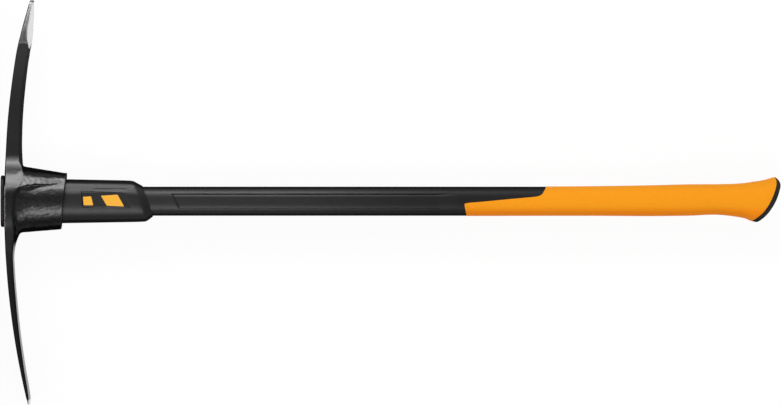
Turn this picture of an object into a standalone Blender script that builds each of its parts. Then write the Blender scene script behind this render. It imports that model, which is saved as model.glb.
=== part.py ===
"""Pickaxe: a forged steel head bonded on a moulded long handle, one solid for each piece.

The tool lies on its side. +X runs from the head to the butt, +Y points along the pick arm, and +Z is up,
across the tool. The origin is the middle of the outer face of the eye cap. All sizes are in metres.
"""

import bmesh
import bpy
import numpy as np

# Fits
GAP = 0.0003  # between any two solids that touch
BURIED = 0.004  # how far one shape reaches into another that it is joined to

# Whole tool
TOOL_LENGTH = 0.9153  # cap face to the end of the butt
PICK_REACH = 0.236  # handle axis to the point
BLADE_REACH = 0.239  # handle axis to the cutting edge

# Handle shell, a moulded oval section
SHELL_HALF_HEIGHT = 0.0171
SHELL_HALF_WIDTH = 0.0135
SHELL_POWER = 2.5
SHELL_SETBACK = 0.0453  # from the tool's end to the shell's end
SIDE_PANEL_HALF_HEIGHT = 0.0082
SIDE_PANEL_DEPTH = 0.0012
SIDE_PANEL_SETBACK = 0.0333  # from the guard's end
SIDE_PANEL_SLANT = 0.0040
SIDE_PANEL_STOP = 0.0086  # short of the grip's front edge

# Fibreglass tube in the handle, and its two plugs
CORE_RADIUS = 0.0085
CORE_BORE_RADIUS = 0.0050
PLUG_LENGTH = 0.022
PLUG_EDGE = 0.0008

# Eye of the head, the liner in it and the cap over it
LINER_WALL = 0.0030
CAP_THICKNESS = 0.0042
CAP_LAP_Y = 0.0097
CAP_LAP_Z = 0.0029
CAP_POWER = 3.4
CAP_SPIGOT_DEPTH = 0.0030
CAP_EDGE = 0.0011

# Guard behind the head
GUARD_WALL_Y = 0.0085
GUARD_WALL_Z = 0.0062
GUARD_TAPER = 0.0016  # loss of wall from the collar to the shoulder
GUARD_POWER = 2.7
GUARD_BODY_LENGTH = 0.0883  # from the rim to the shoulder
GUARD_SHOULDER_SLOPE = -0.31
GUARD_TAIL_LENGTH = 0.0097  # from the shoulder to the end
GUARD_END_SLOPE = -0.38
GUARD_LIP = 0.0010
GUARD_NOSE_DEPTH = 0.0139  # how far the guard reaches into the collar

# Recess on each side of the guard, and the accents in it: corners (X, Y) from the rim's middle
RECESS_DEPTH = 0.0012
RECESS_CORNERS = ((0.0207, 0.0101), (0.0707, 0.0101), (0.0801, -0.0074), (0.0222, -0.0074))
ACCENT_THICKNESS = 0.0018
ACCENT_EDGE = 0.0003
FRONT_ACCENT = ((0.0222, 0.0056), (0.0325, 0.0061), (0.0351, -0.0052), (0.0230, -0.0052))
REAR_ACCENT = ((0.0432, 0.0066), (0.0635, 0.0081), (0.0714, -0.0065), (0.0501, -0.0056))

# Collar and eye boss of the head
COLLAR_LENGTH = 0.0697  # from the head's top face to the middle of the rim
RIM_SLOPE = 0.10
RIM_WALL = 0.0066
COLLAR_SPREAD_Y = 0.0052  # how much taller the boss is than the rim
COLLAR_SPREAD_Z = -0.0020
COLLAR_POWER = 2.15
BOSS_LENGTH = 0.0055
BOSS_ROUND = 0.0070

# Rib from the pick arm along the top of the collar
RIB_CENTRE_Y = 0.0179
RIB_HALF_WIDTH = 0.0222
RIB_RISE = 0.0082  # how far its front top stands over the rim's top
RIB_POWER = 2.2

# Both arms: an arc behind, a flat at the eye
BACK_RADIUS = 0.937
BACK_FLAT = 0.012

# Pick arm
PICK_ROOT_Y = 0.058
PICK_ROOT_DEPTH = 0.0190
PICK_NECK_DEPTH = 0.0155
PICK_ROOT_HALF_WIDTH = 0.0122
PICK_NECK_HALF_WIDTH = 0.0085
PICK_SHOULDER_HALF_WIDTH = 0.0180
PICK_FLARE = 0.0170
PICK_FRONT_CHAMFER = 0.0030
PICK_BACK_CHAMFER = 0.0014
POINT_LENGTH = 0.048
POINT_TIP_DEPTH = 0.0032
POINT_TIP_HALF_WIDTH = 0.0015
POINT_SWING = 0.0005  # how far the tip's middle lies in front of the neck's front face

# Blade arm
BLADE_ROOT_Y = 0.060
BLADE_ROOT_DEPTH = 0.0093
BLADE_TIP_DEPTH = 0.0042
BLADE_ROOT_HALF_WIDTH = 0.0225
BLADE_EDGE_HALF_WIDTH = 0.0350
BLADE_BEVEL_LENGTH = 0.017
BLADE_EDGE_DEPTH = 0.0009
BLADE_FILLET_LENGTH = 0.0215
BLADE_FILLET_RISE = 0.0074
BLADE_CHAMFER = 0.0011

# Grip
GRIP_WALL = 0.0026
GRIP_PROUD_Y = 0.0003
GRIP_PROUD_Z = 0.0007
GRIP_POWER = 2.4
GRIP_LENGTH = 0.3707  # from the front edge to the tool's end
TONGUE_LENGTH = 0.0958
# Front edge of the grip from below to the tongue's tip: X from the start, Y from the axis
GRIP_FRONT = (
    (0.0024, -0.0173),
    (0.0000, -0.0045),
    (0.0012, -0.0027),
    (0.0182, -0.0009),
    (0.0417, 0.0014),
    (0.0864, 0.0055),
    (0.0899, 0.0073),
    (TONGUE_LENGTH, 0.0179),
)
# Grip past its straight part: X back from the tool's end, added height above and below, added width
GRIP_FLARE = (
    (0.2110, 0.0004, -0.0002, 0.0000),
    (0.1410, 0.0016, 0.0001, 0.0000),
    (0.1057, 0.0025, -0.0004, 0.0000),
    (0.0705, 0.0027, -0.0013, 0.0003),
    (0.0528, 0.0032, 0.0007, 0.0010),
    (0.0411, 0.0041, 0.0029, 0.0018),
    (0.0329, 0.0054, 0.0062, 0.0026),
    (0.0213, 0.0071, 0.0077, 0.0038),
    (0.0058, 0.0112, 0.0082, 0.0043),
    (-0.0120, 0.0136, 0.0086, 0.0043),
)

# Butt cap: its outer edge, X back from the tool's end and Y from the axis
BUTT_CAP_WALL = 0.0043
BUTT_CAP_EDGE = 0.0008
BUTT_EDGE = (
    (0.0160, 0.0360),
    (0.0042, 0.0270),
    (0.0000, 0.0202),
    (0.0011, 0.0120),
    (0.0058, -0.0009),
    (0.0152, -0.0148),
    (0.0286, -0.0247),
    (0.0480, -0.0330),
)

# How finely the curves are cut
OVAL_SIDES = 40
ROD_SIDES = 32
ARM_STEPS = 12
CURVE_STEPS = 4

# Places that follow from the sizes
HEAD_X = CAP_THICKNESS + GAP
TENON_X = HEAD_X + CAP_SPIGOT_DEPTH
BOSS_X = HEAD_X + BOSS_LENGTH
RIM_X = HEAD_X + COLLAR_LENGTH
GUARD_SHOULDER_X = RIM_X + GUARD_BODY_LENGTH
GUARD_END_X = GUARD_SHOULDER_X + GUARD_TAIL_LENGTH
GRIP_START_X = TOOL_LENGTH - GRIP_LENGTH
SHELL_END_X = TOOL_LENGTH - SHELL_SETBACK
SIDE_PANEL_START_X = GUARD_END_X + SIDE_PANEL_SETBACK
SIDE_PANEL_END_X = GRIP_START_X - SIDE_PANEL_STOP
EYE_HALF_HEIGHT = SHELL_HALF_HEIGHT + LINER_WALL + 2 * GAP
EYE_HALF_WIDTH = SHELL_HALF_WIDTH + LINER_WALL + 2 * GAP
CAP_HALF_HEIGHT = EYE_HALF_HEIGHT + CAP_LAP_Y
CAP_HALF_WIDTH = EYE_HALF_WIDTH + CAP_LAP_Z
GUARD_HALF_HEIGHT = SHELL_HALF_HEIGHT + GAP + GUARD_WALL_Y
GUARD_HALF_WIDTH = SHELL_HALF_WIDTH + GAP + GUARD_WALL_Z
RIM_HALF_HEIGHT = GUARD_HALF_HEIGHT + GAP + RIM_WALL
RIM_HALF_WIDTH = GUARD_HALF_WIDTH + GAP + RIM_WALL
MOUTH_X = RIM_X - GUARD_NOSE_DEPTH
GUARD_X = MOUTH_X + GAP
RECESS_Z = GUARD_HALF_WIDTH - GUARD_TAPER / 2 - RECESS_DEPTH
SEAT_HALF_HEIGHT = SHELL_HALF_HEIGHT - GRIP_WALL
SEAT_HALF_WIDTH = SHELL_HALF_WIDTH - GRIP_WALL
GRIP_HALF_HEIGHT = SHELL_HALF_HEIGHT + GRIP_PROUD_Y
GRIP_HALF_WIDTH = SHELL_HALF_WIDTH + GRIP_PROUD_Z
OUTSIDE = 0.060  # half size of a cutter that has to reach past the handle


def new_collection(name):
    """A collection of this name in the scene."""
    made = bpy.data.collections.new(name)
    bpy.context.scene.collection.children.link(made)
    return made


def clear_scene():
    """Remove whatever the scene holds."""
    for old in list(bpy.data.objects):
        bpy.data.objects.remove(old, do_unlink=True)


def material(name, colour, roughness, metallic=0.0):
    """A Principled material."""
    made = bpy.data.materials.new(name)
    made.use_nodes = True
    shader = made.node_tree.nodes["Principled BSDF"]
    shader.inputs["Base Color"].default_value = (*colour, 1.0)
    shader.inputs["Roughness"].default_value = roughness
    shader.inputs["Metallic"].default_value = metallic
    made.diffuse_color = (*colour, 1.0)
    return made


def oval(x, half_height, half_width, power, slope=0.0, middle_y=0.0, sides=OVAL_SIDES):
    """A ring of points on a superellipse across X. It leans in X by slope for each metre of Y."""
    angle = 2 * np.pi * (np.arange(sides) + 0.5) / sides
    across, up = np.sin(angle), np.cos(angle)
    y = middle_y + half_height * np.sign(up) * np.abs(up) ** (2 / power)
    z = half_width * np.sign(across) * np.abs(across) ** (2 / power)
    return np.stack([x + slope * y, y, z], axis=1)


def place(obj, collection, finish=None):
    """Put an object in its collection, with its material or as a hidden cutter."""
    for holder in list(obj.users_collection):
        holder.objects.unlink(obj)
    collection.objects.link(obj)
    if finish is None:
        obj.hide_render = True
        obj.display_type = "WIRE"
    else:
        obj.data.materials.clear()
        obj.data.materials.append(finish)
    return obj


def loft(name, rings, collection, finish=None):
    """A closed solid through rings with equal numbers of points."""
    shape = bmesh.new()
    loops = [[shape.verts.new(point) for point in ring] for ring in rings]
    for here, beyond in zip(loops, loops[1:]):
        for i in range(len(here)):
            j = (i + 1) % len(here)
            shape.faces.new((here[i], here[j], beyond[j], beyond[i]))
    shape.faces.new(loops[0])
    shape.faces.new(loops[-1])
    bmesh.ops.recalc_face_normals(shape, faces=shape.faces)
    mesh = bpy.data.meshes.new(name)
    shape.to_mesh(mesh)
    shape.free()
    return place(bpy.data.objects.new(name, mesh), collection, finish)


def rod(name, start_x, end_x, radius, collection, finish=None):
    """A round bar along the handle axis."""
    bpy.ops.mesh.primitive_cylinder_add(
        vertices=ROD_SIDES,
        radius=radius,
        depth=end_x - start_x,
        location=((start_x + end_x) / 2, 0, 0),
        rotation=(0, np.pi / 2, 0),
    )
    bar = bpy.context.object
    bar.name = name
    return place(bar, collection, finish)


def smooth_line(points, steps=CURVE_STEPS):
    """Points on a smooth line through the given ones, by Catmull and Rom's rule."""
    points = np.array(points)
    ends = np.vstack([2 * points[0] - points[1], points, 2 * points[-1] - points[-2]])
    line = []
    for before, start, end, after in zip(ends, ends[1:], ends[2:], ends[3:]):
        for t in np.arange(steps) / steps:
            line.append(
                0.5
                * (
                    2 * start
                    + (end - before) * t
                    + (2 * before - 5 * start + 4 * end - after) * t**2
                    + (3 * start - before - 3 * end + after) * t**3
                )
            )
    line.append(points[-1])
    return np.array(line)


def prism(name, outline, low, high, collection, finish=None, both_sides=False):
    """A flat outline in X and Y, filled from Z low to high, and again at -Z if it is wanted on both sides."""
    curve = bpy.data.curves.new(name, "CURVE")
    curve.dimensions = "2D"
    curve.fill_mode = "BOTH"
    curve.extrude = (high - low) / 2
    spline = curve.splines.new("POLY")
    spline.points.add(len(outline) - 1)
    for point, (x, y) in zip(spline.points, outline):
        point.co = (x, y, 0, 1)
    spline.use_cyclic_u = True
    guide = bpy.data.objects.new(name, curve)
    bpy.context.scene.collection.objects.link(guide)
    bpy.context.view_layer.update()
    mesh = bpy.data.meshes.new_from_object(guide.evaluated_get(bpy.context.evaluated_depsgraph_get()))
    bpy.data.objects.remove(guide)
    bpy.data.curves.remove(curve)
    shape = bmesh.new()
    shape.from_mesh(mesh)
    bmesh.ops.remove_doubles(shape, verts=shape.verts, dist=0.00001)
    bmesh.ops.translate(shape, verts=shape.verts, vec=(0, 0, (low + high) / 2))
    bmesh.ops.recalc_face_normals(shape, faces=shape.faces)
    if both_sides:
        copy = bmesh.ops.duplicate(shape, geom=shape.verts[:] + shape.edges[:] + shape.faces[:])["geom"]
        verts = [item for item in copy if isinstance(item, bmesh.types.BMVert)]
        faces = [item for item in copy if isinstance(item, bmesh.types.BMFace)]
        bmesh.ops.scale(shape, verts=verts, vec=(1, 1, -1))
        bmesh.ops.reverse_faces(shape, faces=faces)
    shape.to_mesh(mesh)
    shape.free()
    mesh.name = name
    return place(bpy.data.objects.new(name, mesh), collection, finish)


def combine(target, other, operation):
    """Cut, join or trim one object by another with an exact Boolean."""
    step = target.modifiers.new(f"{operation.lower()} {other.name}", "BOOLEAN")
    step.operation = operation
    step.solver = "EXACT"
    step.object = other


def round_edges(obj, width, angle=0.7, segments=2):
    """Round an object's sharp edges."""
    step = obj.modifiers.new("rounded edges", "BEVEL")
    step.width = width
    step.segments = segments
    step.limit_method = "ANGLE"
    step.angle_limit = angle


def back_x(y):
    """X of the head's rear arc at a distance from the handle axis."""
    run = np.maximum(np.abs(y) - BACK_FLAT, 0)
    return HEAD_X + BACK_RADIUS - np.sqrt(BACK_RADIUS**2 - run**2)


def arm_ring(y, back, front, half_width, back_chamfer, front_chamfer):
    """A four-sided section across an arm, with chamfered corners."""
    depth = front - back
    rear = min(back_chamfer, depth / 3, half_width / 2)
    fore = min(front_chamfer, depth / 3, half_width / 2)
    half = [
        (back, half_width - rear),
        (back + rear, half_width),
        (front - fore, half_width),
        (front, half_width - fore),
    ]
    corners = half + [(x, -z) for x, z in reversed(half)]
    return np.array([(x, y, z) for x, z in corners])


def pick_arm(collection):
    """The arm from inside the boss to the blunt point."""
    point_y = PICK_REACH - POINT_LENGTH
    rings = []
    for y in np.concatenate([
        np.linspace(EYE_HALF_HEIGHT + BURIED, PICK_ROOT_Y, 6),
        np.linspace(PICK_ROOT_Y, point_y, ARM_STEPS)[1:],
    ]):
        along = np.clip((y - PICK_ROOT_Y) / (point_y - PICK_ROOT_Y), 0, 1)
        depth = PICK_ROOT_DEPTH + (PICK_NECK_DEPTH - PICK_ROOT_DEPTH) * along
        width = PICK_ROOT_HALF_WIDTH + (PICK_NECK_HALF_WIDTH - PICK_ROOT_HALF_WIDTH) * along
        flare = np.clip((PICK_ROOT_Y - y) / PICK_FLARE, 0, 1)
        width += (PICK_SHOULDER_HALF_WIDTH - PICK_ROOT_HALF_WIDTH) * flare**2 * (3 - 2 * flare)
        back = back_x(y)
        rings.append(arm_ring(y, back, back + depth, width, PICK_BACK_CHAMFER, PICK_FRONT_CHAMFER))
    neck_back = back_x(point_y)
    neck_middle = neck_back + PICK_NECK_DEPTH / 2
    tip_middle = neck_back + PICK_NECK_DEPTH + POINT_SWING
    for along in np.linspace(0, 1, 6)[1:]:
        y = point_y + POINT_LENGTH * along
        taper = along**1.25
        depth = PICK_NECK_DEPTH + (POINT_TIP_DEPTH - PICK_NECK_DEPTH) * taper
        width = PICK_NECK_HALF_WIDTH + (POINT_TIP_HALF_WIDTH - PICK_NECK_HALF_WIDTH) * taper
        middle = neck_middle + (tip_middle - neck_middle) * along
        rings.append(
            arm_ring(y, middle - depth / 2, middle + depth / 2, width, PICK_BACK_CHAMFER, PICK_FRONT_CHAMFER)
        )
    return loft("pick_arm_shape", rings, collection)


def blade_arm(collection):
    """The arm from inside the boss to the cutting edge."""
    bevel_y = BLADE_REACH - BLADE_BEVEL_LENGTH
    root_y = BLADE_ROOT_Y
    rings = []
    stations = np.concatenate([
        np.linspace(EYE_HALF_HEIGHT - BURIED, root_y, 6),
        np.linspace(root_y, bevel_y, ARM_STEPS)[1:],
        np.linspace(bevel_y, BLADE_REACH, 4)[1:],
    ])
    for y in stations:
        along = np.clip((y - root_y) / (bevel_y - root_y), 0, 1)
        depth = BLADE_ROOT_DEPTH + (BLADE_TIP_DEPTH - BLADE_ROOT_DEPTH) * along**1.35
        near = max(root_y - y, 0) / BLADE_FILLET_LENGTH
        depth += BLADE_FILLET_RISE * near**1.4
        bevel = np.clip((y - bevel_y) / BLADE_BEVEL_LENGTH, 0, 1)
        depth += (BLADE_EDGE_DEPTH - BLADE_TIP_DEPTH) * bevel
        spread = max(y - root_y, 0) / (BLADE_REACH - root_y)
        width = BLADE_ROOT_HALF_WIDTH + (BLADE_EDGE_HALF_WIDTH - BLADE_ROOT_HALF_WIDTH) * spread**1.5
        back = back_x(y)
        rings.append(arm_ring(-y, back, back + depth, width, BLADE_CHAMFER, BLADE_CHAMFER))
    return loft("blade_arm_shape", rings, collection)


def make_head(parts, tools, finish):
    """Forged head: boss and collar, rib, pick arm and blade, with the eye and the collar's mouth cut through."""
    boss_height = RIM_HALF_HEIGHT + COLLAR_SPREAD_Y
    boss_width = RIM_HALF_WIDTH + COLLAR_SPREAD_Z
    rings = [
        oval(HEAD_X, boss_height - BOSS_ROUND, boss_width - BOSS_ROUND / 4, COLLAR_POWER),
        oval((HEAD_X + BOSS_X) / 2, boss_height - BOSS_ROUND / 4, boss_width - BOSS_ROUND / 16, COLLAR_POWER),
        oval(BOSS_X, boss_height, boss_width, COLLAR_POWER),
    ]
    for along in (0.4, 0.75, 1.0):
        x = BOSS_X + (RIM_X - BOSS_X) * along
        height = boss_height + (RIM_HALF_HEIGHT - boss_height) * along
        width = boss_width + (RIM_HALF_WIDTH - boss_width) * along
        rings.append(oval(x, height, width, COLLAR_POWER, RIM_SLOPE * along))
    head = loft("pick_head", rings, parts, finish)
    rib_rings = []
    for along in np.linspace(0, 1, 5):
        x = BOSS_X + (RIM_X - BOSS_X) * along * 0.98
        top = RIM_HALF_HEIGHT - GAP + RIB_RISE * (1 - along)
        rib_rings.append(
            oval(x, top - RIB_CENTRE_Y, RIB_HALF_WIDTH, RIB_POWER, RIM_SLOPE * along, RIB_CENTRE_Y)
        )
    combine(head, loft("rib_shape", rib_rings, tools), "UNION")
    combine(head, pick_arm(tools), "UNION")
    combine(head, blade_arm(tools), "UNION")
    eye = loft(
        "eye_cut",
        [oval(x, EYE_HALF_HEIGHT, EYE_HALF_WIDTH, SHELL_POWER) for x in (-BURIED, RIM_X)],
        tools,
    )
    mouth = loft(
        "mouth_cut",
        [
            oval(x, GUARD_HALF_HEIGHT + GAP, GUARD_HALF_WIDTH + GAP, GUARD_POWER)
            for x in (MOUTH_X, RIM_X + OUTSIDE)
        ],
        tools,
    )
    combine(head, eye, "DIFFERENCE")
    combine(head, mouth, "DIFFERENCE")


def make_eye_cap(parts, finish):
    """Plate over the eye, with a spigot that presses into it."""
    outline_rings = [
        oval(x, CAP_HALF_HEIGHT - inset, CAP_HALF_WIDTH - inset, CAP_POWER)
        for x, inset in (
            (0.0, CAP_EDGE),
            (CAP_EDGE * 0.3, CAP_EDGE * 0.3),
            (CAP_EDGE, 0.0),
            (CAP_THICKNESS, 0.0),
        )
    ]
    spigot_height = EYE_HALF_HEIGHT - GAP
    spigot_width = EYE_HALF_WIDTH - GAP
    for x in (CAP_THICKNESS, TENON_X - GAP):
        outline_rings.append(oval(x, spigot_height, spigot_width, SHELL_POWER))
    loft("eye_cap", outline_rings, parts, finish)


def make_liner(parts, tools, finish):
    """Oval sleeve between the steel eye and the handle's tenon."""
    liner = loft(
        "eye_liner",
        [oval(x, EYE_HALF_HEIGHT - GAP, EYE_HALF_WIDTH - GAP, SHELL_POWER) for x in (TENON_X, MOUTH_X)],
        parts,
        finish,
    )
    bore = loft(
        "liner_cut",
        [
            oval(x, SHELL_HALF_HEIGHT + GAP, SHELL_HALF_WIDTH + GAP, SHELL_POWER)
            for x in (TENON_X - BURIED, MOUTH_X + BURIED)
        ],
        tools,
    )
    combine(liner, bore, "DIFFERENCE")


def grip_front(shift=0.0):
    """Front edge of the grip in X and Y, moved by shift away from the tongue."""
    return [(GRIP_START_X + x + shift, y - shift) for x, y in GRIP_FRONT]


def seat_loft(name, growth, start_x, end_x, collection):
    """The reduced section that the grip is moulded on, grown all round."""
    return loft(
        name,
        [
            oval(x, SEAT_HALF_HEIGHT + growth, SEAT_HALF_WIDTH + growth, SHELL_POWER)
            for x in (start_x, end_x)
        ],
        collection,
    )


def make_shell(parts, tools, finish):
    """Black moulded handle body: a tenon in the head, side panels, the tongue and the seat of the grip."""
    shell = loft(
        "handle_shell",
        [oval(x, SHELL_HALF_HEIGHT, SHELL_HALF_WIDTH, SHELL_POWER) for x in (TENON_X, SHELL_END_X)],
        parts,
        finish,
    )
    front = grip_front()
    below = [(TOOL_LENGTH, -OUTSIDE), (front[0][0], -OUTSIDE)]
    above = [(front[-1][0] + BURIED, OUTSIDE), (TOOL_LENGTH, OUTSIDE)]
    seat = prism("grip_seat_cut", below + front + above, -OUTSIDE, OUTSIDE, tools)
    inside = seat_loft("seat_shape", 0.0, GRIP_START_X - OUTSIDE, TOOL_LENGTH + OUTSIDE, tools)
    combine(seat, inside, "DIFFERENCE")
    half = SIDE_PANEL_HALF_HEIGHT
    turn = np.linspace(-np.pi / 2, np.pi / 2, 2 * CURVE_STEPS + 1)
    rear_middle = SIDE_PANEL_END_X - half
    rear_round = [(rear_middle + half * np.cos(a), half * np.sin(a)) for a in turn]
    panel_outline = [
        (SIDE_PANEL_START_X - SIDE_PANEL_SLANT, half),
        (SIDE_PANEL_START_X + SIDE_PANEL_SLANT, -half),
        *rear_round,
    ]
    panel = prism(
        "side_panel_cut",
        panel_outline,
        SHELL_HALF_WIDTH - SIDE_PANEL_DEPTH,
        SHELL_HALF_WIDTH + BURIED,
        tools,
        both_sides=True,
    )
    core = rod("core_cut", TENON_X - BURIED, SHELL_END_X + BURIED, CORE_RADIUS + GAP, tools)
    combine(shell, panel, "DIFFERENCE")
    combine(shell, seat, "DIFFERENCE")
    combine(shell, core, "DIFFERENCE")


def make_core(parts, tools, core_finish, plug_finish):
    """Fibreglass tube inside the shell, and a plug in each end of it."""
    tube = rod("handle_core", TENON_X, SHELL_END_X, CORE_RADIUS, parts, core_finish)
    bore = rod("core_bore_cut", TENON_X - BURIED, SHELL_END_X + BURIED, CORE_BORE_RADIUS, tools)
    combine(tube, bore, "DIFFERENCE")
    for name, start_x in (("front_core_plug", TENON_X), ("rear_core_plug", SHELL_END_X - PLUG_LENGTH)):
        plug = rod(name, start_x, start_x + PLUG_LENGTH, CORE_BORE_RADIUS - GAP, parts, plug_finish)
        round_edges(plug, PLUG_EDGE)


def from_rim(corners, shrink=0.0):
    """Corners given from the rim's middle, in X and Y, drawn towards their middle by shrink."""
    points = np.array(corners) + (RIM_X, 0)
    inward = points.mean(axis=0) - points
    return points + shrink * inward / np.linalg.norm(inward, axis=1, keepdims=True)


def make_guard(parts, tools, finish, accent_finish):
    """Moulded guard round the handle, with a recess and two accents on each side."""
    shoulder_height = GUARD_HALF_HEIGHT - GUARD_TAPER
    shoulder_width = GUARD_HALF_WIDTH - GUARD_TAPER
    bend_height = shoulder_height - GUARD_LIP
    bend_width = shoulder_width - GUARD_LIP
    end_height = SHELL_HALF_HEIGHT + GAP + GUARD_LIP
    end_width = SHELL_HALF_WIDTH + GAP + GUARD_LIP
    bend_x = GUARD_SHOULDER_X + (GUARD_END_X - GUARD_SHOULDER_X) * 0.25
    bend_slope = (GUARD_SHOULDER_SLOPE * 3 + GUARD_END_SLOPE) / 4
    guard = loft(
        "overstrike_guard",
        [
            oval(GUARD_X, GUARD_HALF_HEIGHT, GUARD_HALF_WIDTH, GUARD_POWER),
            oval(RIM_X + BURIED, GUARD_HALF_HEIGHT, GUARD_HALF_WIDTH, GUARD_POWER),
            oval(GUARD_SHOULDER_X, shoulder_height, shoulder_width, GUARD_POWER, GUARD_SHOULDER_SLOPE),
            oval(bend_x, bend_height, bend_width, GUARD_POWER, bend_slope),
            oval(GUARD_END_X, end_height, end_width, GUARD_POWER, GUARD_END_SLOPE),
        ],
        parts,
        finish,
    )
    bore = loft(
        "guard_bore_cut",
        [
            oval(x, SHELL_HALF_HEIGHT + GAP, SHELL_HALF_WIDTH + GAP, SHELL_POWER)
            for x in (GUARD_X - BURIED, GUARD_END_X + OUTSIDE)
        ],
        tools,
    )
    recess = prism("recess_cut", from_rim(RECESS_CORNERS), RECESS_Z, OUTSIDE, tools, both_sides=True)
    combine(guard, bore, "DIFFERENCE")
    combine(guard, recess, "DIFFERENCE")
    pocket_floor = RECESS_Z - ACCENT_THICKNESS - GAP
    for place_name, corners in (("front", FRONT_ACCENT), ("rear", REAR_ACCENT)):
        pocket = prism(
            f"{place_name}_pocket_cut",
            from_rim(corners),
            pocket_floor,
            RECESS_Z + BURIED,
            tools,
            both_sides=True,
        )
        combine(guard, pocket, "DIFFERENCE")
        outline = from_rim(corners, 1.5 * GAP)
        for side, low in (("near", pocket_floor + GAP), ("far", -RECESS_Z)):
            high = low + ACCENT_THICKNESS
            accent = prism(f"{side}_{place_name}_accent", outline, low, high, parts, accent_finish)
            round_edges(accent, ACCENT_EDGE, segments=1)


def grip_rings():
    """Rings of the grip's outer skin, straight and then flaring to the butt."""
    rings = [oval(GRIP_START_X - BURIED, GRIP_HALF_HEIGHT, GRIP_HALF_WIDTH, GRIP_POWER)]
    for from_end, above, below, wider in GRIP_FLARE:
        height = GRIP_HALF_HEIGHT + (above + below) / 2
        middle = (above - below) / 2
        rings.append(
            oval(TOOL_LENGTH - from_end, height, GRIP_HALF_WIDTH + wider, GRIP_POWER, 0.0, middle)
        )
    return rings


def butt_edge(inset):
    """The butt's outer edge in X and Y, moved inwards by inset, from above to below."""
    line = smooth_line([(TOOL_LENGTH - x, y) for x, y in BUTT_EDGE])
    along = np.gradient(line, axis=0)
    along /= np.linalg.norm(along, axis=1, keepdims=True)
    return line + inset * np.stack([along[:, 1], -along[:, 0]], axis=1)


def before_butt(inset, start_x):
    """Outline of everything from start_x to the butt's edge moved inwards by inset."""
    edge = butt_edge(inset)
    return [(start_x, edge[-1][1]), *edge[::-1], (start_x, edge[0][1])]


def make_grip(parts, tools, finish):
    """Soft grip over the seat, flaring to the slanted butt."""
    grip = loft("grip", grip_rings(), parts, finish)
    front = grip_front(GAP)
    edge = butt_edge(BUTT_CAP_WALL + GAP)
    outline = [
        (front[0][0], edge[-1][1]),
        *front,
        (front[-1][0] + BURIED, edge[0][1]),
        *edge,
    ]
    trim = prism("grip_trim", outline, -OUTSIDE, OUTSIDE, tools)
    bore = seat_loft("grip_bore_cut", GAP, GRIP_START_X - OUTSIDE, TOOL_LENGTH + OUTSIDE, tools)
    combine(grip, trim, "INTERSECT")
    combine(grip, bore, "DIFFERENCE")


def make_butt_cap(parts, tools, finish):
    """Curved cap over the butt, with a spigot in the grip behind the shell."""
    cap = loft("butt_cap", grip_rings(), parts, finish)
    inner, outer = butt_edge(BUTT_CAP_WALL), butt_edge(0.0)
    band = prism("butt_band", [*outer, *inner[::-1]], -OUTSIDE, OUTSIDE, tools)
    spigot = seat_loft("butt_spigot", 0.0, SHELL_END_X + GAP, TOOL_LENGTH + OUTSIDE, tools)
    inside = prism(
        "spigot_trim",
        before_butt(BUTT_CAP_WALL / 2, SHELL_END_X - OUTSIDE),
        -OUTSIDE,
        OUTSIDE,
        tools,
    )
    combine(spigot, inside, "INTERSECT")
    combine(cap, band, "INTERSECT")
    round_edges(cap, BUTT_CAP_EDGE)
    combine(cap, spigot, "UNION")


def shade(parts):
    """Smooth faces, with the real edges kept sharp."""
    for piece in parts.objects:
        piece.data.shade_smooth()
        piece.data.set_sharp_from_angle(angle=0.6)


def build():
    """Make every piece of the tool."""
    clear_scene()
    parts = new_collection("Pickaxe")
    tools = new_collection("Cutters")
    steel = material("painted forged steel", (0.020, 0.020, 0.022), 0.35, 0.6)
    black = material("black nylon", (0.022, 0.022, 0.022), 0.45)
    orange = material("orange soft grip", (0.89, 0.34, 0.02), 0.7)
    accent = material("orange nylon", (0.93, 0.42, 0.05), 0.5)
    rubber = material("black rubber", (0.045, 0.045, 0.04), 0.7)
    fibreglass = material("fibreglass", (0.55, 0.52, 0.36), 0.4)
    liner = material("bonding liner", (0.25, 0.25, 0.24), 0.6)
    make_head(parts, tools, steel)
    make_eye_cap(parts, rubber)
    make_liner(parts, tools, liner)
    make_core(parts, tools, fibreglass, rubber)
    make_shell(parts, tools, black)
    make_guard(parts, tools, black, accent)
    make_grip(parts, tools, orange)
    make_butt_cap(parts, tools, rubber)
    shade(parts)


build()
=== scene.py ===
"""Looks of the pickaxe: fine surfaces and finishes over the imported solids, with a studio round them.

The tool lies on its side on a pale floor. +X runs from the head to the butt, +Y along the pick arm, and +Z up
towards the camera. Shapes are worked out in millimetres and written to their meshes in metres.
"""

from __future__ import annotations

import logging
import math
from dataclasses import dataclass, field, replace
from enum import Enum
from functools import partial
from itertools import product
from typing import Callable, Iterator

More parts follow.
